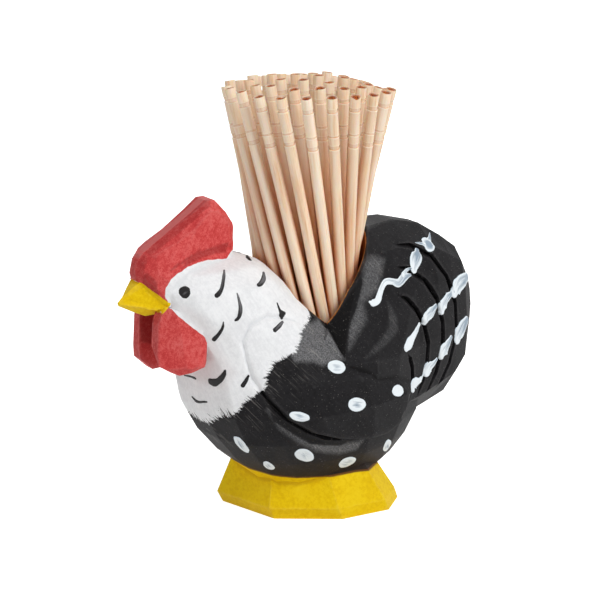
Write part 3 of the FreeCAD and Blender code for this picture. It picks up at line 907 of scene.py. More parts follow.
    wattle_shaded: Outline = (
        (-33.2, 47.2), (-31.0, 46.6), (-28.6, 44.6), (-26.6, 41.0), (-25.4, 37.4), (-23.2, 33.6),
        (-24.6, 30.2), (-27.6, 30.8), (-30.0, 36.0), (-30.0, 43.0),
    )  # where painted shade with a pink cast from the wattle lies on the white behind it
    wattle_shade_fade: float = 1.6  # mm over which it comes up
    wattle_out: float = 0.6  # mm that the wattles' red starts outside the trunk's flank
    well_radius: float = 11.62  # a little more than the drilled well's own, so that its whole wall is bare
    well_floor: float = 15.0  # z a little under the well's floor, above which the wood inside that radius is bare

    def trunk_half(self, x: np.ndarray, z: np.ndarray) -> np.ndarray:
        """Half the trunk's width at each place, or nothing in front of it.

        Args:
            x: How far back each place is.
            z: How high it is.

        Returns:
            The half widths.
        """
        heights = [row[0] for row in self.trunk]
        front, widest, half, square = (np.interp(z, heights, [row[i] for row in self.trunk]) for i in range(1, 5))
        share = np.clip((widest - x) / (widest - front), 0, 1)
        return half * (1 - share**square) ** (1 / square)

    def saddle_line(self) -> np.ndarray:
        """Finely spaced places on the line between black and white, from the breast's middle up one flank.

        Returns:
            One place per row, in millimetres.
        """
        line = np.array(self.saddle, float)
        steps = np.linspace(0, len(line) - 1, self.saddle_steps * len(line))
        return np.stack([np.interp(steps, range(len(line)), line[:, i]) for i in range(3)], axis=1)

    def black_depth(self, points: np.ndarray) -> tuple[np.ndarray, np.ndarray]:
        """How deep each place is in the black saddle, trunk and tail, and how far along its edge it lies.

        Args:
            points: One place per row, in millimetres.

        Returns:
            The depths, and the distances from the breast's middle, below 0 on the -Y side.
        """
        line = self.saddle_line()
        reach = np.concatenate([[0.0], np.cumsum(np.linalg.norm(np.diff(line, axis=0), axis=1))])
        turn = np.arctan2(line[:, 1], self.saddle_centre - line[:, 0])
        order = np.argsort(turn)
        side = np.abs(points[:, 1])
        here = np.arctan2(side, self.saddle_centre - points[:, 0])
        edge = np.interp(here, turn[order], line[order, 2], right=self.behind)
        gap = np.full(len(points), np.inf)
        run = np.zeros(len(points))
        for spot, distance in zip(line, reach, strict=True):
            fresh = (points[:, 0] - spot[0]) ** 2 + (side - spot[1]) ** 2 + (points[:, 2] - spot[2]) ** 2
            run = np.where(fresh < gap, distance, run)
            gap = np.minimum(gap, fresh)
        return np.where(points[:, 2] < edge, 1, -1) * np.sqrt(gap), run * np.sign(points[:, 1])

    def depths(self, points: np.ndarray) -> dict[Zone, np.ndarray]:
        """How deep each place is in every zone.

        Args:
            points: One place per row, in millimetres.

        Returns:
            The depths in millimetres, a minus sign outside.
        """
        x, y, z = points.T
        flat = np.stack([x, z], axis=1)
        lobes = np.minimum(depth_in(self.wattle, flat), np.abs(y) - self.trunk_half(x, z) - self.wattle_out)
        throat = np.minimum(depth_in(self.throat, flat), self.throat_half - np.abs(y))
        root = np.minimum(depth_in(self.beak_root, flat), self.beak_root_half - np.abs(y))
        beak = np.maximum(depth_in(self.beak, flat) + self.beak_over, depth_in(self.beak_corner, flat))
        foot = np.interp(x, *np.array(self.foot_top).T) - z
        return {
            Zone.BLACK: self.black_depth(points)[0],
            Zone.RED: np.maximum.reduce([depth_in(self.comb, flat), lobes, throat]),
            Zone.YELLOW: np.maximum.reduce([beak, root, foot]),
            Zone.BARE: np.where(z > self.well_floor, self.well_radius - np.hypot(x, y), -1.0),
        }

    def facet_tone(self, points: np.ndarray) -> np.ndarray:
        """How dusty each place is, up to 1, or with a minus sign how much painted shade it gets.

        Args:
            points: One place per row, in millimetres.

        Returns:
            One number per place.
        """
        flat, side = points[:, (0, 2)], np.abs(points[:, 1])
        pale, dark = np.zeros(len(points)), np.zeros(len(points))
        for patch in self.patches:
            within = (side >= patch.side) & (side <= patch.side_most)
            level = within * risen(patch.outline, flat, patch.fade)
            pale = np.maximum(pale, patch.strength * level)
            dark = np.maximum(dark, -patch.strength * level)
        return pale * (1 - dark) - dark

    def wattle_shade(self, points: np.ndarray) -> np.ndarray:
        """How much painted shade, with a pink cast from the wattle, each white place behind it gets, 0 to 1."""
        return risen(self.wattle_shaded, points[:, (0, 2)], self.wattle_shade_fade)


def relaxed(mesh: bpy.types.Mesh, points: np.ndarray, rounds: int) -> np.ndarray:
    """Moves every vertex again and again to the middle of its neighbours.

    Args:
        mesh: The mesh.
        points: Its vertices.
        rounds: How many times.

    Returns:
        The new places; the mesh itself stays as it is.
    """
    ends = np.empty(len(mesh.edges) * 2, np.int32)
    mesh.edges.foreach_get("vertices", ends)
    one, two = ends.reshape(-1, 2).T
    count = np.bincount(one, minlength=len(points)) + np.bincount(two, minlength=len(points))
    smooth = points.copy()
    for _ in range(rounds):
        total = np.empty_like(smooth)
        for axis in range(3):
            total[:, axis] = np.bincount(one, smooth[two, axis], len(points))
            total[:, axis] += np.bincount(two, smooth[one, axis], len(points))
        smooth = total / count[:, None]
    return smooth


def vertex_places(mesh: bpy.types.Mesh) -> np.ndarray:
    """Reads the vertices of a mesh.

    Args:
        mesh: The mesh.

    Returns:
        One place per row, in millimetres.
    """
    points = np.empty(len(mesh.vertices) * 3)
    mesh.vertices.foreach_get("co", points)
    return points.reshape(-1, 3) / MM


@dataclass(frozen=True)
class BeakFlank:
    """The flat cut on each side of the beak, which runs up to the comb with no hollow between them."""

    middle: tuple[float, float] = (-38.0, 48.0)
    half: float = 1.958  # mm of half width at that place
    per_x: float = 0.710  # mm of half width gained for each mm towards the head
    per_z: float = -0.128  # mm of half width gained for each mm up
    over: float = 0.15  # mm that the cut runs past its outline
    outline: Outline = (
        (-41.2, 47.3), (-40.0, 46.75), (-38.4, 46.35), (-36.6, 45.9), (-35.2, 45.8), (-33.9, 46.4),
        (-33.7, 47.2), (-35.2, 48.9), (-36.1, 49.9), (-37.8, 51.0),
    )

    def widen(self, points: np.ndarray) -> np.ndarray:
        """Moves the places on the beak's flanks out to the flat cut.

        Args:
            points: One place per row, in millimetres.

        Returns:
            The new places.
        """
        half = self.half + self.per_x * (points[:, 0] - self.middle[0]) + self.per_z * (points[:, 2] - self.middle[1])
        inside = depth_in(self.outline, points[:, (0, 2)]) > -self.over
        side = np.where(inside, np.maximum(np.abs(points[:, 1]), half), np.abs(points[:, 1]))
        return np.stack([points[:, 0], np.sign(points[:, 1]) * side, points[:, 2]], axis=1)


@dataclass
class CarvedHen:
    """The whittled block: foot, trunk, head, comb, beak, wattles, wings and tail in one piece of wood."""

    name: str = "carved_hen"
    weld: float = 0.001  # mm within which two corners are one
    octree_depth: int = 8  # halvings of the hen's length that give the fine surface's grid
    octree_fill: float = 0.86  # share of the grid that the hen fills
    crisp: float = 16.0  # degrees, a knife's arris steeper than this stays sharp
    arris_rounds: int = 8  # rounds of smoothing that an arris is measured against
    arris_height: float = 0.16  # mm that a full arris stands above its smoothed surroundings
    coat_rounds: int = 6  # rounds of smoothing under the thick white
    coat_fade: float = 1.0  # mm from the white's edge over which it grows thick
    coat_share: float = 0.8  # how far the thick white follows the smoothed surface
    plan: PaintPlan = PaintPlan()
    beak: BeakFlank = BeakFlank()

    def fine_mesh(self) -> bpy.types.Mesh:
        """The carved solid's surface, on an even fine grid that keeps the knife's arrises.

        Returns:
            The mesh, in metres.
        """
        source = bmesh.new()
        source.from_mesh(frame["nodes"]["carved_body"].data)
        bmesh.ops.remove_doubles(source, verts=source.verts, dist=self.weld * MM)
        rough = bpy.data.meshes.new("carved_rough")
        source.to_mesh(rough)
        source.free()
        block = bpy.data.objects.new("carved_block", rough)
        bpy.context.scene.collection.objects.link(block)
        even = block.modifiers.new("even", "REMESH")
        even.mode = "SHARP"
        even.octree_depth = self.octree_depth
        even.scale = self.octree_fill
        even.use_remove_disconnected = False
        made = bpy.data.meshes.new_from_object(block.evaluated_get(bpy.context.evaluated_depsgraph_get()))
        bpy.data.objects.remove(block)
        return made

    def arris(self, mesh: bpy.types.Mesh, points: np.ndarray) -> np.ndarray:
        """How sharply each place stands out, 1 on an arris and -1 in a crease.

        Args:
            mesh: The fine mesh.
            points: Its vertices, in millimetres.

        Returns:
            One number per vertex.
        """
        smooth = relaxed(mesh, points, self.arris_rounds)
        normals = np.empty(len(points) * 3)
        mesh.vertex_normals.foreach_get("vector", normals)
        height = ((points - smooth) * normals.reshape(-1, 3)).sum(axis=1)
        return np.clip(height / self.arris_height, -1, 1)

    def thickly_coated(self, mesh: bpy.types.Mesh, points: np.ndarray) -> np.ndarray:
        """Softens the cuts under the white, which lies on in several coats.

        Args:
            mesh: The block's mesh.
            points: Its vertices, in millimetres.

        Returns:
            The new places.
        """
        other = np.maximum.reduce(list(self.plan.depths(points).values()))
        share = (self.coat_share * np.clip(-other / self.coat_fade, 0, 1))[:, None]
        return points * (1 - share) + relaxed(mesh, points, self.coat_rounds) * share

    def build(self) -> bpy.types.Object:
        """Builds and dresses the carved block.

        Returns:
            The piece.
        """
        mesh = self.fine_mesh()
        points = self.thickly_coated(mesh, self.beak.widen(vertex_places(mesh)))
        mesh.vertices.foreach_set("co", (points * MM).ravel())
        mesh.update()
        for zone, depth in self.plan.depths(points).items():
            set_numbers(mesh, zone.value, depth)
        set_numbers(mesh, "edge_run", self.plan.black_depth(points)[1])
        set_numbers(mesh, "arris", self.arris(mesh, points))
        # dust on the dry facets above 0, painted shade below 0
        set_numbers(mesh, "facet_tone", self.plan.facet_tone(points))
        # painted shade with a pink cast on the white behind the wattle
        set_numbers(mesh, "wattle_shade", self.plan.wattle_shade(points))
        piece = new_piece(self.name, mesh, "hen", PaintedLimewood().build())
        mesh.set_sharp_from_angle(angle=math.radians(self.crisp))
        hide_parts("carved_body")
        LOG.info("%s: %d faces", piece.name, len(mesh.polygons))
        return piece


# ---- brush marks ------------------------------------------------------------------------------------
@dataclass(frozen=True)
class Stroke:
    """One pull of the brush: places on the surface, each with the mark's width there, in millimetres."""

    path: tuple[tuple[float, float, float, float], ...]
    dry: float  # how far the bristles ran dry, 0 to 1


@dataclass(frozen=True)
class Dot:
    """One dab of the brush: its centre, its half length and half width, and the way its length runs."""

    centre: Point
    length: float
    width: float
    way: Point
    smear: float = 0.5  # how far the bristles thin the paint at its middle


NECK_STROKES = (
    Stroke(
        (
            (-22.8, -7.0, 52.2, 0.34), (-23.6, -8.2, 51.2, 0.68), (-24.7, -9.4, 49.7, 0.75),
            (-25.6, -9.9, 48.9, 0.89), (-26.1, -9.8, 48.5, 0.93),
        ),
        dry=0.62,
    ),
    Stroke(
        (
            (-14.4, -7.4, 50.6, 0.53), (-15.1, -8.5, 49.8, 1.05), (-16.2, -9.3, 49.2, 0.97),
            (-17.0, -9.7, 49.1, 0.76),
        ),
        dry=0.95,
    ),
    Stroke(((-14.3, -1.2, 52.5, 0.46), (-15.2, -3.2, 52.6, 1.01), (-15.4, -4.1, 52.5, 0.85)), dry=0.2),
    Stroke(
        (
            (-21.9, -10.0, 48.4, 0.24), (-21.7, -10.4, 47.2, 0.54), (-21.6, -10.8, 45.7, 0.89),
            (-22.0, -11.2, 44.5, 0.83), (-22.5, -11.2, 43.8, 0.70), (-23.0, -11.2, 43.6, 0.44),
        ),
        dry=0.75,
    ),
    Stroke(
        (
            (-13.5, -10.7, 45.4, 0.25), (-13.4, -11.3, 44.3, 0.49), (-13.2, -11.6, 43.8, 0.84),
            (-12.5, -11.7, 43.4, 0.72),
        ),
        dry=0.3,
    ),
    Stroke(((-13.3, -11.5, 44.0, 0.52), (-13.1, -11.8, 43.3, 1.39), (-13.2, -11.7, 42.4, 0.46)), dry=0.2),
    Stroke(((-13.4, -12.4, 42.0, 0.55), (-14.4, -12.7, 41.4, 0.92), (-15.5, -13.0, 40.9, 0.87)), dry=0.7),
    Stroke(
        (
            (-25.2, -10.6, 43.5, 0.26), (-25.4, -10.6, 42.4, 0.57), (-25.9, -10.0, 41.1, 0.75),
            (-26.5, -9.3, 40.0, 0.90),
        ),
        dry=0.2,
    ),
    Stroke(
        (
            (-24.7, -10.2, 33.9, 0.43), (-25.0, -10.1, 33.0, 0.97), (-25.3, -9.0, 31.7, 1.30),
            (-25.7, -7.7, 31.0, 1.68), (-25.9, -7.1, 31.0, 1.62),
        ),
        dry=0.15,
    ),
    Stroke(((-21.2, -12.8, 32.9, 0.47), (-21.6, -12.5, 31.9, 0.77), (-22.1, -12.2, 31.0, 0.91)), dry=0.2),
)
BREAST_STROKES = (
    Stroke(((-27.1, 1.0, 30.3, 0.27), (-27.1, -1.3, 30.7, 0.48), (-27.1, -3.2, 30.8, 0.52)), dry=0.1),
    Stroke(
        (
            (-26.4, -0.6, 26.3, 0.42), (-26.3, -1.9, 25.8, 0.68), (-26.2, -3.1, 25.9, 0.55),
            (-26.2, -4.4, 26.3, 0.41), (-25.8, -5.3, 26.5, 0.33),
        ),
        dry=0.1,
    ),
)
TAIL_STROKES = (
    Stroke(((27.8, -2.7, 51.6, 0.22), (26.6, -4.3, 51.1, 0.75), (25.7, -5.3, 50.9, 1.2)), dry=0.95),
    Stroke(((21.2, -6.8, 51.3, 0.25), (22.6, -6.7, 50.9, 0.7), (23.5, -6.6, 50.6, 0.9)), dry=0.95),
    Stroke(
        (
            (21.2, -7.3, 49.8, 1.23), (20.8, -8.0, 49.0, 3.07), (20.0, -8.6, 48.2, 3.21),
            (19.4, -9.1, 47.4, 2.43), (19.1, -9.4, 46.8, 1.83),
        ),
        dry=0.80,
    ),
    Stroke(
        (
            (17.7, -10.2, 46.0, 0.61), (16.0, -10.6, 46.0, 1.80), (14.0, -11.4, 45.2, 1.74),
            (12.3, -11.5, 45.8, 1.41), (10.7, -11.7, 46.0, 1.26), (9.5, -12.1, 45.1, 1.19),
            (8.7, -12.6, 44.1, 1.35), (7.8, -13.1, 43.0, 1.47), (6.6, -13.3, 42.8, 1.42),
            (5.9, -13.2, 43.1, 0.52),
        ),
        dry=0.55,
    ),
    Stroke(((18.2, -9.1, 47.0, 0.51), (16.8, -9.8, 46.9, 0.70), (15.5, -10.6, 46.4, 0.98)), dry=0.70),
    Stroke(
        (
            (37.0, -3.2, 41.1, 2.18), (34.1, -5.5, 41.2, 3.00), (31.8, -6.9, 40.5, 3.60),
            (30.9, -7.3, 39.7, 2.21),
        ),
        dry=0.78,
    ),
    Stroke(
        (
            (30.3, -6.6, 39.9, 0.73), (27.8, -8.7, 39.3, 2.08), (26.5, -9.3, 38.2, 2.66),
            (26.0, -9.3, 36.9, 1.16),
        ),
        dry=0.72,
    ),
    Stroke(
        (
            (24.0, -10.2, 38.6, 1.19), (22.6, -10.8, 37.8, 2.32), (20.9, -11.4, 37.1, 2.20),
            (20.3, -11.0, 36.0, 0.99),
        ),
        dry=0.65,
    ),
    Stroke(
        (
            (18.6, -12.1, 36.3, 0.74), (17.5, -12.7, 35.3, 1.23), (16.2, -13.4, 34.4, 1.70),
            (14.8, -14.2, 33.5, 2.58), (13.7, -14.7, 33.0, 1.79),
        ),
        dry=0.35,
    ),
    Stroke(
        (
            (34.6, -6.4, 32.9, 2.15), (33.2, -7.2, 31.9, 3.71), (32.1, -7.6, 30.9, 3.62),
            (31.5, -7.9, 29.9, 2.16),
        ),
        dry=0.75,
    ),
    Stroke(
        (
            (28.8, -9.0, 31.0, 1.20), (27.6, -9.4, 29.8, 2.44), (26.4, -9.9, 28.8, 3.01),
            (25.8, -9.8, 27.7, 1.21),
        ),
        dry=0.68,
    ),
    Stroke(
        (
            (24.1, -10.6, 27.7, 0.77), (23.0, -11.0, 27.0, 1.57), (21.8, -11.4, 26.6, 2.50),
            (21.2, -11.5, 25.8, 2.10),
        ),
        dry=0.55,
    ),
    Stroke(
        (
            (20.5, -11.0, 25.5, 0.42), (18.7, -12.3, 24.7, 1.41), (17.2, -12.9, 24.5, 2.70),
            (16.5, -13.1, 23.8, 1.49), (16.6, -13.1, 23.2, 1.00),
        ),
        dry=0.40,
    ),
)
DOTS = (
    Dot((-4.0, -16.7, 32.7), 2.08, 1.34, (0.98, -0.07, -0.20)),
    Dot((-0.8, -18.9, 25.2), 2.28, 1.38, (0.97, 0.01, -0.26)),
    Dot((10.2, -16.9, 25.4), 1.8, 1.2, (0.95, 0.18, -0.24), smear=0.0),
    Dot((-13.0, -17.6, 24.7), 2.09, 0.96, (0.89, -0.34, -0.31)),
    Dot((-20.3, -8.6, 17.7), 2.6, 1.35, (0.58, 0.10, -0.81)),
    Dot((-9.6, -14.1, 15.2), 2.58, 1.56, (0.79, 0.13, -0.60)),
    Dot((0.9, -13.3, 11.4), 2.18, 1.70, (0.92, 0.21, -0.34)),
    Dot((-14.5, -9.1, 12.5), 1.89, 0.96, (0.67, 0.22, -0.71)),
    Dot((11.2, -12.2, 12.4), 2.2, 1.2, (0.43, 0.57, -0.70)),
)
TAIL_DROP = (Dot((24.8, -6.3, 50.3), 1.8, 1.6, (0.94, 0.14, -0.29), smear=0.95),)
EYES = (Dot((-31.5, -7.4, 49.4), 1.15, 1.12, (0.9, 0.2, 0.3), smear=0.35),)


@dataclass
class BrushMarks:
    """Dots, strokes and eyes, each a thin skin of paint that follows the carved surface, on both flanks save for the
    strokes across the breast.
    """

    hen: bpy.types.Object
    thickness: float = 0.09  # mm of paint above the wood
    sunk: float = 0.04  # mm that a mark's edge goes below the surface, so that no gap shows
    above: float = 1.5  # mm above its path from which a mark is dropped onto the wood
    pitch: float = 0.2  # mm between the points along a stroke
    dot_dip: float = 0.12  # mm that a dot sinks into a cut before its paint bridges it
    bridge: int = 6  # points to each side over which a stroke bridges a narrow cut
    broad_rounds: int = 30  # rounds of smoothing that leave only the hen's broad forms
    edge_drop: float = 0.35  # share of the thickness that is lost towards a mark's edge
    rings: int = 6  # of points in a dot, from its middle out
    heart: float = 0.02  # of a ring's width, the hole at a dot's middle
    spokes: int = 36
    lumps: tuple[tuple[int, float], ...] = ((2, 0.035), (3, 0.025), (7, 0.012))  # waves round a dot, and their height
    lanes: tuple[float, ...] = (-1.0, -0.82, -0.45, 0.0, 0.45, 0.82, 1.0)  # across a stroke, -1 and 1 at its edges
    shortest: int = 8  # steps along a stroke, at least
    tangent: float = 0.15  # mm to each side over which a stroke's direction is taken
    blunt: float = 0.02  # share of the width that a stroke keeps at its very end
    sway: float = 0.03  # share of the width by which a stroke swells and thins
    sway_pitch: float = 2.9  # radians of that per mm
    dot_dry: tuple[float, float] = (0.3, 1.2)  # share of a dot's dryness at its edge and in its middle
    stroke_dry: tuple[float, float] = (1.2, 0.3)  # share of a stroke's dryness where it starts and where it ends
    pattern: float = 90.0  # mm of bristle pattern, from which each mark takes its own stretch
    seed: int = 11

    def __post_init__(self) -> None:
        """Readies the carved surface for finding the place under each mark."""
        mesh = self.hen.data
        corners = vertex_places(mesh)
        faces = [tuple(p.vertices) for p in mesh.polygons]
        self.surface = BVHTree.FromPolygons(corners.tolist(), faces)
        self.broad = BVHTree.FromPolygons(relaxed(mesh, corners, self.broad_rounds).tolist(), faces)
        self.hand = random.Random(self.seed)

    def wood(self, point: Vector, normal: Vector) -> float:
        """How far above a point the wood is.

        Args:
            point: A place near the surface.
            normal: The way out of the surface there.

        Returns:
            The distance along the normal, below 0 where the wood is further in.
        """
        hit, _, _, distance = self.surface.ray_cast(point + normal * self.above, -normal, 2 * self.above)
        return 0.0 if hit is None else self.above - distance

    def skin(self, share: float) -> float:
        """The paint's height at a share of the way from the middle of a mark to its edge."""
        return -self.sunk if math.isclose(share, 1.0) else self.thickness * (1 - self.edge_drop * share**4)

    def dot_rows(self, dot: Dot, side: int) -> tuple[list[list[Vector]], list[list[Point]], list[float]]:
        """The rings of one dab, from its middle out.

        Args:
            dot: The dab.
            side: 1 for the flank it is written for, -1 for the other.

        Returns:
            The places, their stroke coordinates, and how far inside the edge each ring is.
        """
        flip = Vector((1, side, 1))
        start = Vector(dot.centre) * flip
        _, normal, _, _ = self.broad.find_nearest(start)
        way = Vector(dot.way) * flip
        way = (way - normal * way.dot(normal)).normalized()
        across = normal.cross(way)
        seed = self.hand.uniform(0, self.pattern)
        starts = [self.hand.uniform(0, math.tau) for _ in self.lumps]
        places: list[list[Vector]] = []
        strokes: list[list[Point]] = []
        inside: list[float] = []
        for ring in range(self.rings + 1):
            share = (ring + self.heart) / (self.rings + self.heart)
            row, marks = [], []
            for spoke in range(self.spokes):
                turn = math.tau * spoke / self.spokes
                lump = 1 + sum(h * math.sin(n * turn + s) for (n, h), s in zip(self.lumps, starts, strict=True))
                run = dot.length * math.cos(turn) * share * lump
                rise = dot.width * math.sin(turn) * share * lump
                spot = start + way * run + across * rise
                row.append(spot + normal * (max(self.wood(spot, normal), -self.dot_dip) + self.skin(share)))
                marks.append((run, rise, seed))
            places.append(row)
            strokes.append(marks)
            inside.append(1 - share)
        return places, strokes, inside

    def stroke_rows(self, stroke: Stroke, side: int) -> tuple[list[list[Vector]], list[list[Point]], list[float]]:
        """The long rows of one stroke, from one edge of the mark to the other.

        Args:
            stroke: The stroke.
            side: 1 for the flank it is written for, -1 for the other.

        Returns:
            The places, their stroke coordinates, and how far inside the edge each row is.
        """
        flip = Vector((1, side, 1))
        knots = [Vector(spot[:3]) * flip for spot in stroke.path]
        widths = [spot[3] for spot in stroke.path]
        gaps = [(b - a).length for a, b in zip(knots, knots[1:])]
        reach = [sum(gaps[:i]) for i in range(len(knots))]
        start, end = -widths[0] / 2, reach[-1] + widths[-1] / 2
        count = max(self.shortest, round((end - start) / self.pitch))
        seed = self.hand.uniform(0, self.pattern)
        spots: list[list[Vector]] = [[] for _ in self.lanes]
        normals: list[Vector] = []
        strokes: list[list[Point]] = [[] for _ in self.lanes]
        for step in range(count + 1):
            s = start + (end - start) * step / count
            centre = self.along(knots, reach, s)
            ahead, back = (self.along(knots, reach, s + sign * self.tangent) for sign in (1, -1))
            tangent = (ahead - back).normalized()
            past = max(s / start, (s - reach[-1]) / (end - reach[-1]), 0.0)  # how far into a rounded end, 0 to 1
            cap = math.sqrt(max(0.0, 1 - past**2))
            width = self.width_at(widths, reach, s) * max(cap, self.blunt)
            width *= 1 + self.sway * math.sin(self.sway_pitch * s + seed)
            _, normal, _, _ = self.broad.find_nearest(centre)
            across = normal.cross(tangent).normalized()
            normals.append(normal)
            for i, share in enumerate(self.lanes):
                spots[i].append(centre + across * (share * width / 2))
                strokes[i].append((s, share * width / 2, seed))
        wood = np.array([[self.wood(spot, n) for spot, n in zip(row, normals, strict=True)] for row in spots])
        wood = self.slid(self.slid(wood, np.maximum, self.bridge), np.minimum, self.bridge)
        wood[1:-1] = self.slid(wood, np.maximum, 1)[1:-1]  # lies over every arris between two points
        places = [
            [
                spot + n * (float(wood[i, c]) + (self.skin(abs(share)) if 0 < c < count else -self.sunk))
                for c, (spot, n) in enumerate(zip(spots[i], normals, strict=True))
            ]
            for i, share in enumerate(self.lanes)
        ]
        return places, strokes, [1 - abs(share) for share in self.lanes]

    def slid(
        self, heights: np.ndarray, choose: Callable[[np.ndarray, np.ndarray], np.ndarray], reach: int
    ) -> np.ndarray:
        """The highest, or the lowest, of each height and its neighbours in a stroke.

        Args:
            heights: One row per line of the stroke.
            choose: The maximum or the minimum of two arrays.
            reach: How many neighbours to each side along the stroke.

        Returns:
            The chosen heights.
        """
        wide = np.pad(heights, ((1, 1), (reach, reach)), mode="edge")
        rows, count = heights.shape
        found = heights
        for shift in range(2 * reach + 1):
            for row in range(3):
                found = choose(found, wide[row : row + rows, shift : shift + count])
        return found

    @staticmethod
    def width_at(widths: list[float], reach: list[float], s: float) -> float:
        """The mark's width at a distance along it, eased from knot to knot.

        Args:
            widths: The width at each knot.
            reach: Each knot's distance from the first.
            s: The distance.

        Returns:
            The width.
        """
        i = min(max(int(np.searchsorted(reach, s)) - 1, 0), len(reach) - 2)
        t = min(max((s - reach[i]) / (reach[i + 1] - reach[i]), 0.0), 1.0)
        return widths[i] + (widths[i + 1] - widths[i]) * t * t * (3 - 2 * t)

    @staticmethod
    def along(knots: list[Vector], reach: list[float], s: float) -> Vector:
        """The place at a distance along a rounded line through the knots, or straight on past its ends.

        Args:
            knots: The places that the line runs through.
            reach: Each knot's distance from the first.
            s: The distance.

        Returns:
            The place.
        """
        if s <= 0:
            return knots[0] + (knots[1] - knots[0]).normalized() * s
        if s >= reach[-1]:
            return knots[-1] + (knots[-1] - knots[-2]).normalized() * (s - reach[-1])
        i = max(k for k in range(len(knots) - 1) if reach[k] <= s)
        t = (s - reach[i]) / (reach[i + 1] - reach[i])
        before = knots[i - 1] if i else 2 * knots[0] - knots[1]
        after = knots[i + 2] if i + 2 < len(knots) else 2 * knots[-1] - knots[-2]
        one, two = knots[i], knots[i + 1]
        return 0.5 * (
            2 * one
            + (two - before) * t
            + (2 * before - 5 * one + 4 * two - after) * t**2
            + (3 * one - before - 3 * two + after) * t**3
        )

    def dryness(self, share: float, is_dot: bool) -> float:
        """How dry the paint is at a share of the way into a dot or along a stroke."""
        first, last = self.dot_dry if is_dot else self.stroke_dry
        return first + (last - first) * share

    def build(
        self,
        name: str,
        finish: BrushedMark,
        strokes: Sequence[Stroke] = (),
        dots: Sequence[Dot] = (),
        mirror: bool = True,
    ) -> bpy.types.Object:
        """Builds one family of marks as one piece.

        Args:
            name: The piece's name.
            finish: Its paint.
            strokes: Its strokes.
            dots: Its dabs.
            mirror: Whether the strokes are on both flanks.

        Returns:
            The piece.
        """
        verts: list[Vector] = []
        faces: list[tuple[int, ...]] = []
        marks: list[Point] = []
        inside: list[float] = []
        dry: list[float] = []
        jobs = [(self.stroke_rows(s, side), False, s.dry) for s in strokes for side in ((1, -1) if mirror else (1,))]
        jobs += [(self.dot_rows(d, side), True, d.smear) for d in dots for side in (1, -1)]
        for (rows, coordinates, depths), closed, most in jobs:
            first = len(verts)
            width = len(rows[0])
            for row, spots, depth in zip(rows, coordinates, depths, strict=True):
                verts += row
                marks += spots
                inside += [depth] * width
                dry += [most * self.dryness(depth if closed else c / width, closed) for c in range(width)]
            for r in range(len(rows) - 1):
                for c in range(width if closed else width - 1):
                    a, b = first + r * width + c, first + r * width + (c + 1) % width
                    face = (a, a + width, b + width, b)
                    faces.append(face if closed else face[::-1])
        mesh = bpy.data.meshes.new(name)
        mesh.from_pydata([v * MM for v in verts], [], faces)
        set_numbers(mesh, "stroke", np.array(marks))
        set_numbers(mesh, "inside", np.array(inside))
        set_numbers(mesh, "dry", np.array(dry))
        self.face_out(mesh)
        piece = new_piece(name, mesh, "hen", finish.build())
        LOG.info("%s: %d marks, %d faces", name, len(jobs), len(faces))
        return piece

    def face_out(self, mesh: bpy.types.Mesh) -> None:
        """Turns every face of the marks away from the wood.

        Args:
            mesh: The marks' mesh, in metres.
        """
        shape = bmesh.new()
        shape.from_mesh(mesh)
        shape.normal_update()
        for face in shape.faces:
            _, normal, _, _ = self.broad.find_nearest(face.calc_center_median() / MM)
            if normal.dot(face.normal) < 0:
                face.normal_flip()
        shape.to_mesh(mesh)
        shape.free()


# ---- the picks --------------------------------------------------------------------------------------
# One groove, from below it up. Each row has the end it is measured from (0 the lower, 1 the upper), the mm above
# that end, the share of the lip that is added to the radius, the share of the cut that is taken off it, and the
# painted shading: painted shade in the groove, and below 0 a painted highlight on the lip that stands up.
GROOVE = (
    (0, -0.30, 0.0, 0.0, 0.0),
    (0, -0.12, 0.6, 0.0, -0.5),
    (0, -0.04, 1.0, 0.0, -0.9),
    (0, 0.00, 0.4, 0.0, -0.5),
    (0, 0.04, 0.0, 1.0, 0.25),
    (0, 0.16, 0.0, 1.0, 0.05),
    (1, -0.12, 0.0, 0.8, 0.08),
    (1, -0.03, 0.0, 0.8, 0.3),
    (1, 0.00, 0.5, 0.0, -0.6),
    (1, 0.12, 0.0, 0.0, -0.2),
    (1, 0.30, 0.0, 0.0, 0.0),
)


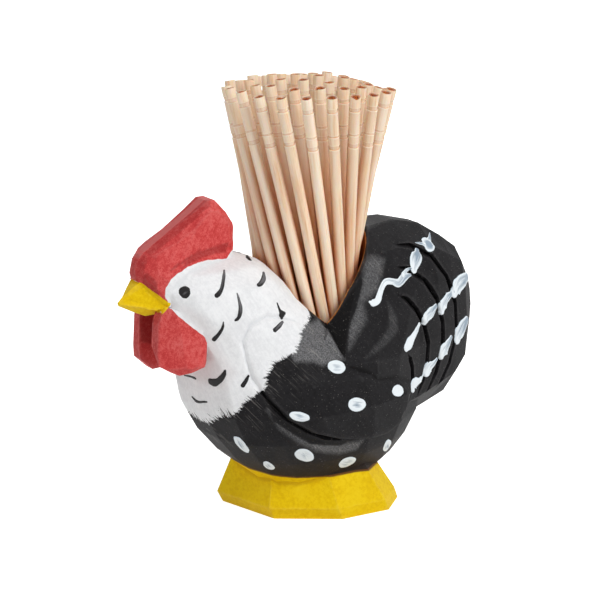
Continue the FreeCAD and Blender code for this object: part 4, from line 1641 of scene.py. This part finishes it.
@dataclass
class TurnedPick:
    """One round pick: a sharpened foot, a long shaft, and a head turned with grooves whose lips stand up."""

    number: int
    core: float = 0.0  # how deep in the bundle it stands, 0 to 1
    radius: float = 1.05
    radius_play: tuple[float, float] = (0.975, 1.005)  # least and most share of the radius
    point_length: float = 10.0
    point_rows: Sequence[float] = (0.2, 0.45, 0.7, 0.9, 1.0)  # shares of the point's length
    point_swell: float = 0.92  # power under 1 that makes the point a little full
    tip_radius: float = 0.16
    shaft_rows: Sequence[float] = (0.18, 0.36, 0.54, 0.72, 0.88)  # shares of the way from the point to the grooves
    head: float = 2.0  # mm from the top to the first groove
    groove: float = 0.8
    groove_depth: float = 0.13
    depth_play: tuple[float, float] = (0.7, 1.25)  # least and most share of the depth
    barrel: float = 4.3  # mm between the first groove and the nick
    nick: float = 0.35
    nick_share: float = 0.55  # the nick's depth as a share of the grooves'
    ring: float = 1.6  # mm between the nick and the last groove
    stretch_play: tuple[float, float] = (0.94, 1.06)  # least and most share of the head's lengths
    lip: float = 0.05  # mm that a groove's lower lip stands up
    crisp: float = 35.0  # degrees, a turned edge steeper than this stays sharp
    sides: int = 28
    waves: Sequence[int] = (2, 3, 5)  # round the pick, of which each of its faint lobes has one
    lobe_heights: tuple[float, float] = (0.003, 0.009)  # least and most share of the radius
    lobe_twist: float = 0.05  # radians that the lobes wind per mm
    chips: Sequence[float] = (0.0, 0.0, 0.12, 0.3)  # mm that a chip may take off the top's edge
    chip_narrow: int = 6  # power that keeps the chip to one side
    chip_height: float = 0.2  # mm below the top in which the side shows it
    rim: float = 0.03  # mm of rounding at the top's edge
    # rings of the sawn top, each a share of the radius, mm down from the rim and its end grain
    saw_rings: Sequence[Point] = ((0.86, 0.05, 0.6), (0.55, 0.10, 1.0), (0.25, 0.16, 1.0))
    saw_rough: float = 0.10  # mm of roughness on the sawn top
    saw_wave: float = 0.06
    saw_dip: float = 0.2  # mm down at the middle
    dim_top: float = 9.0  # mm below the top at which the bundle starts to dim its middle picks
    dim_reach: float = 16.0  # mm over which it does
    tint_power: float = 1.6  # leaves few picks dark
    seed: int = 100

    def profile(self, length: float, hand: random.Random) -> list[tuple[float, float, float, float]]:
        """The pick's outline from the point up.

        Args:
            length: The pick's whole length.
            hand: The source of this pick's small differences.

        Returns:
            Distance from the point, radius, end grain and the painted shading of a turned groove, row by row.
        """
        slim = self.radius * hand.uniform(*self.radius_play)
        deep = self.groove_depth * hand.uniform(*self.depth_play)
        stretch = hand.uniform(*self.stretch_play)
        tip, rise = self.tip_radius, slim - self.tip_radius
        rows = [(0.0, tip, 0.6, 0.0), (0.25, tip + 0.05, 0.0, 0.0)]  # the point's blunt end and its edge
        rows += [(self.point_length * t, tip + rise * t**self.point_swell, 0.0, 0.0) for t in self.point_rows]
        first = length - self.head * stretch
        second = first - self.groove * stretch
        third = second - self.barrel * stretch
        fourth = third - self.nick
        fifth = fourth - self.ring * stretch
        sixth = fifth - self.groove * stretch
        rows += [(self.point_length + (sixth - self.point_length) * t, slim, 0.0, 0.0) for t in self.shaft_rows]
        for low, high, cut in ((sixth, fifth, deep), (fourth, third, deep * self.nick_share), (second, first, deep)):
            for side, up, lip, dip, brown in GROOVE:
                rows.append(((low, high)[side] + up, slim + self.lip * lip - cut * dip, 0.0, brown))
        rows += [(length - 0.9, slim, 0.0, 0.0), (length - 0.12, slim, 0.0, 0.0)]  # the plain top
        rows.append((length - self.rim, slim * 0.97, 0.15, 0.0))  # its rounded edge, where end grain starts to show
        return rows

    def mesh(self, length: float) -> bpy.types.Mesh:
        """Builds the pick standing on its point at the origin.

        Args:
            length: The pick's whole length.

        Returns:
            The mesh, in metres.
        """
        hand = random.Random(self.seed + self.number)
        rows = self.profile(length, hand)
        lobes = [
            (hand.choice(self.waves), hand.uniform(0, math.tau), hand.uniform(*self.lobe_heights)) for _ in range(3)
        ]
        chip = hand.uniform(0, math.tau)
        chip_depth = hand.choice(self.chips)
        turns = [math.tau * i / self.sides for i in range(self.sides)]
        chipped = [chip_depth * max(0.0, math.cos(turn - chip)) ** self.chip_narrow for turn in turns]
        verts: list[Point] = []
        end: list[float] = []
        # painted shade in the grooves, and below 0 a painted highlight on their lips
        groove_shading: list[float] = []
        for z, radius, grain, brown in rows:
            for turn, drop in zip(turns, chipped, strict=True):
                out = radius * (1 + sum(a * math.sin(n * turn + p + self.lobe_twist * z) for n, p, a in lobes))
                lowered = z - drop if z > length - self.chip_height else z
                verts.append((out * math.cos(turn), out * math.sin(turn), lowered))
                end.append(grain)
                groove_shading.append(brown)
        for share, dip, grain in self.saw_rings:
            out = rows[-1][1] * share
            for turn, drop in zip(turns, chipped, strict=True):
                z = length - self.rim - dip - hand.uniform(0, self.saw_rough)
                z -= self.saw_wave * math.sin(2 * turn + chip) + drop * share
                verts.append((out * math.cos(turn), out * math.sin(turn), z))
                end.append(grain)
        faces: list[tuple[int, ...]] = [tuple(range(self.sides))[::-1]]
        for r in range(len(verts) // self.sides - 1):
            for i in range(self.sides):
                a, b = r * self.sides + i, r * self.sides + (i + 1) % self.sides
                faces.append((a, b, b + self.sides, a + self.sides))
        verts.append((0.0, 0.0, length - self.saw_dip))
        end.append(1.0)
        last = len(verts) - 1 - self.sides
        faces += [(last + i, last + (i + 1) % self.sides, len(verts) - 1) for i in range(self.sides)]
        made = bpy.data.meshes.new(f"turned_pick_{self.number:02d}")
        made.from_pydata([(x * MM, y * MM, z * MM) for x, y, z in verts], [], faces)
        set_numbers(made, "end", np.array(end))
        set_numbers(made, "groove_shading", np.array(groove_shading + [0.0] * (len(verts) - len(groove_shading))))
        below = length - np.array([v[2] for v in verts])
        set_numbers(made, "core", self.core * np.clip((below - self.dim_top) / self.dim_reach, 0, 1))
        set_numbers(made, "tint", np.full(len(verts), hand.random() ** self.tint_power))
        return made


@dataclass
class PickBundle:
    """The loose picks, each on the line that its joint gives it."""

    tip_zone: float = 0.05  # mm of a pick's end that marks its foot or its top
    outer_feet: float = 8.6  # mm from the well's middle, where the outer picks stand
    core_fade: float = 3.0  # mm inward over which the picks reach the bundle's dim middle

    def build(self) -> None:
        """Builds every pick in the place of its plain solid."""
        material = TurnedBirch().build()
        axes = {j["child"]: Vector(j["axis"]).normalized() for j in frame["joints"]}
        for name, node in sorted(frame["nodes"].items()):
            if not name.startswith("pick_"):
                continue
            axis = axes[f"{name}_body"]
            if axis.z < 0:
                axis = -axis
            corners = np.array([v.co for v in node.data.vertices]) / MM
            reach = corners @ np.array(axis)
            foot = corners[reach < reach.min() + self.tip_zone].mean(axis=0)
            top = corners[reach > reach.max() - self.tip_zone].mean(axis=0)
            number = int(name.split("_")[1])
            length = float(reach.max() - reach.min())
            away = math.hypot(foot[0], foot[1])
            core = min(max((self.outer_feet - away) / self.core_fade, 0.0), 1.0)
            mesh = TurnedPick(number, core).mesh(length)
            piece = bpy.data.objects.new(f"turned_{name}", mesh)
            bpy.context.scene.collection.objects.link(piece)
            turn = Vector((0, 0, 1)).rotation_difference(Vector(top - foot)).to_matrix().to_4x4()
            piece.matrix_world = Matrix.Translation(Vector(foot) * MM) @ turn
            mesh.materials.append(material)
            mesh.shade_smooth()
            mesh.set_sharp_from_angle(angle=math.radians(TurnedPick.crisp))
            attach(piece, f"{name}_body")
            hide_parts(name)
            LOG.info("%s: %d faces", piece.name, len(mesh.polygons))


# ---- the studio -------------------------------------------------------------------------------------
@dataclass(frozen=True)
class Lamp:
    """A soft square lamp that is aimed at the hen."""

    name: str
    way: Point  # the direction from the hen to it, in shares of the way back to the camera, to its right and up
    distance: float  # metres
    width: float  # metres
    share: float  # the brightness it gives a facing white surface, where 1 is full white


@dataclass
class Studio:
    """A pale floor, soft lamps, and the camera on the hen's left, in front of it and a little above."""

    azimuth: float = -33.0  # degrees round the hen from straight at its left flank
    elevation: float = 16.0  # degrees up
    camera_place: Point = (-210.1, -321.3, 151.3)
    focal_length: float = 122.4  # mm
    film_width: float = 36.0  # mm
    nearest: float = 0.01  # metres from the camera at which things start to show
    floor_radius: float = 1500.0
    floor_sides: int = 96
    floor_tones: tuple[str, str] = ("#F4F3F1", "#FAFAF9")
    floor_pitch: float = 0.5  # changes of tone per mm of paper
    floor_glow: float = 0.82  # of white, which brings the lit floor up to white and leaves the shadow
    ambient: float = 0.30  # the world's light on the hen, where the white that the camera sees is 1
    aim_height: float = 40.0  # mm up the hen
    lamps: tuple[Lamp, ...] = (
        Lamp("key", (0.6, 0.6, 0.6), distance=0.6, width=0.32, share=0.62),
        Lamp("fill", (0.5, -0.8, 0.5), distance=0.7, width=0.5, share=0.16),
        Lamp("rim", (-0.6, 0.2, 0.9), distance=0.6, width=0.4, share=0.22),
    )

    def way_back(self) -> Vector:
        """The direction from the hen to the camera."""
        turn, rise = math.radians(self.azimuth), math.radians(self.elevation)
        return Vector((math.sin(turn) * math.cos(rise), -math.cos(turn) * math.cos(rise), math.sin(rise)))

    def camera(self) -> None:
        """Sets the camera."""
        made = bpy.data.objects.new("camera", bpy.data.cameras.new("camera"))
        bpy.context.scene.collection.objects.link(made)
        made.data.lens = self.focal_length
        made.data.sensor_width = self.film_width
        made.data.clip_start = self.nearest
        made.location = Vector(self.camera_place) * MM
        made.rotation_euler = self.way_back().to_track_quat("Z", "Y").to_euler()
        bpy.context.scene.camera = made

    def floor(self) -> None:
        """Lays a round pale floor that shows white where it is lit and keeps the hen's shadow."""
        shape = bmesh.new()
        bmesh.ops.create_circle(shape, cap_ends=True, segments=self.floor_sides, radius=self.floor_radius * MM)
        mesh = bpy.data.meshes.new("floor")
        shape.to_mesh(mesh)
        shape.free()
        piece = bpy.data.objects.new("floor", mesh)
        bpy.context.scene.collection.objects.link(piece)
        shader = Shader("floor_paper")
        grain = shader.add("ShaderNodeTexNoise", {"Vector": shader.place, "Scale": self.floor_pitch})
        dim, bright = (linear(tone) for tone in self.floor_tones)
        tone = shader.add("ShaderNodeMix", {"Factor": grain, "A": dim, "B": bright}, data_type="RGBA")
        seen = add_node(shader.tree, "ShaderNodeLightPath").outputs
        direct = {0: seen["Is Camera Ray"], 1: seen["Is Glossy Ray"]}
        glow = shader.add("ShaderNodeMath", direct, operation="MAXIMUM")
        glow = shader.add("ShaderNodeMath", {0: glow, 1: self.floor_glow}, operation="MULTIPLY")
        paper = {"Base Color": tone, "Roughness": 0.9, "Emission Color": (1, 1, 1, 1), "Emission Strength": glow}
        mesh.materials.append(shader.finish(paper))

    def world(self) -> None:
        """Sets a white surround that the camera, gloss and glass see, and a softer light from it."""
        world = bpy.data.worlds.new("surround")
        bpy.context.scene.world = world
        world.use_nodes = True
        tree = world.node_tree
        tree.nodes.clear()
        seen = add_node(tree, "ShaderNodeLightPath").outputs
        direct = seen["Is Camera Ray"]
        for ray in ("Is Glossy Ray", "Is Transmission Ray"):
            direct = add_node(tree, "ShaderNodeMath", {0: direct, 1: seen[ray]}, operation="MAXIMUM").outputs[0]
        power = add_node(tree, "ShaderNodeMapRange", Ramp(0.0, 1.0, low=self.ambient).of(direct)).outputs[0]
        light = add_node(tree, "ShaderNodeBackground", {"Color": (1, 1, 1, 1), "Strength": power}).outputs[0]
        add_node(tree, "ShaderNodeOutputWorld", {"Surface": light})

    def hang(self, lamp: Lamp) -> None:
        """Hangs one lamp.

        Args:
            lamp: The lamp.
        """
        back, up = self.way_back(), Vector((0, 0, 1))
        right = up.cross(back).normalized()
        way = back * lamp.way[0] + right * lamp.way[1] + up * lamp.way[2]
        made = bpy.data.objects.new(lamp.name, bpy.data.lights.new(lamp.name, "AREA"))
        bpy.context.scene.collection.objects.link(made)
        made.data.size = lamp.width
        made.data.energy = lamp.share * (math.pi * lamp.distance) ** 2
        made.location = Vector((0, 0, self.aim_height * MM)) + way.normalized() * lamp.distance
        made.rotation_euler = way.to_track_quat("Z", "Y").to_euler()

    def build(self) -> None:
        """Sets up the camera, floor, world and lamps."""
        self.camera()
        self.floor()
        self.world()
        for lamp in self.lamps:
            self.hang(lamp)
        bpy.context.scene.view_settings.view_transform = "Standard"
        LOG.info("studio set")


def main() -> None:
    """Builds the dressed hen, its marks, its picks and the studio."""
    logging.basicConfig(level=logging.INFO, format="%(name)s: %(message)s")
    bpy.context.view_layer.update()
    hen = CarvedHen().build()
    marks = BrushMarks(hen)
    marks.build("white_dots", MARK_WHITE, dots=DOTS)
    marks.build("tail_strokes", MARK_WHITE, dots=TAIL_DROP, strokes=TAIL_STROKES)
    marks.build("neck_strokes", MARK_BLACK, strokes=NECK_STROKES)
    marks.build("breast_strokes", MARK_BLACK, strokes=BREAST_STROKES, mirror=False)
    marks.build("eyes", MARK_BLACK, dots=EYES)
    PickBundle().build()
    Studio().build()


if __name__ == "__main__":
    main()
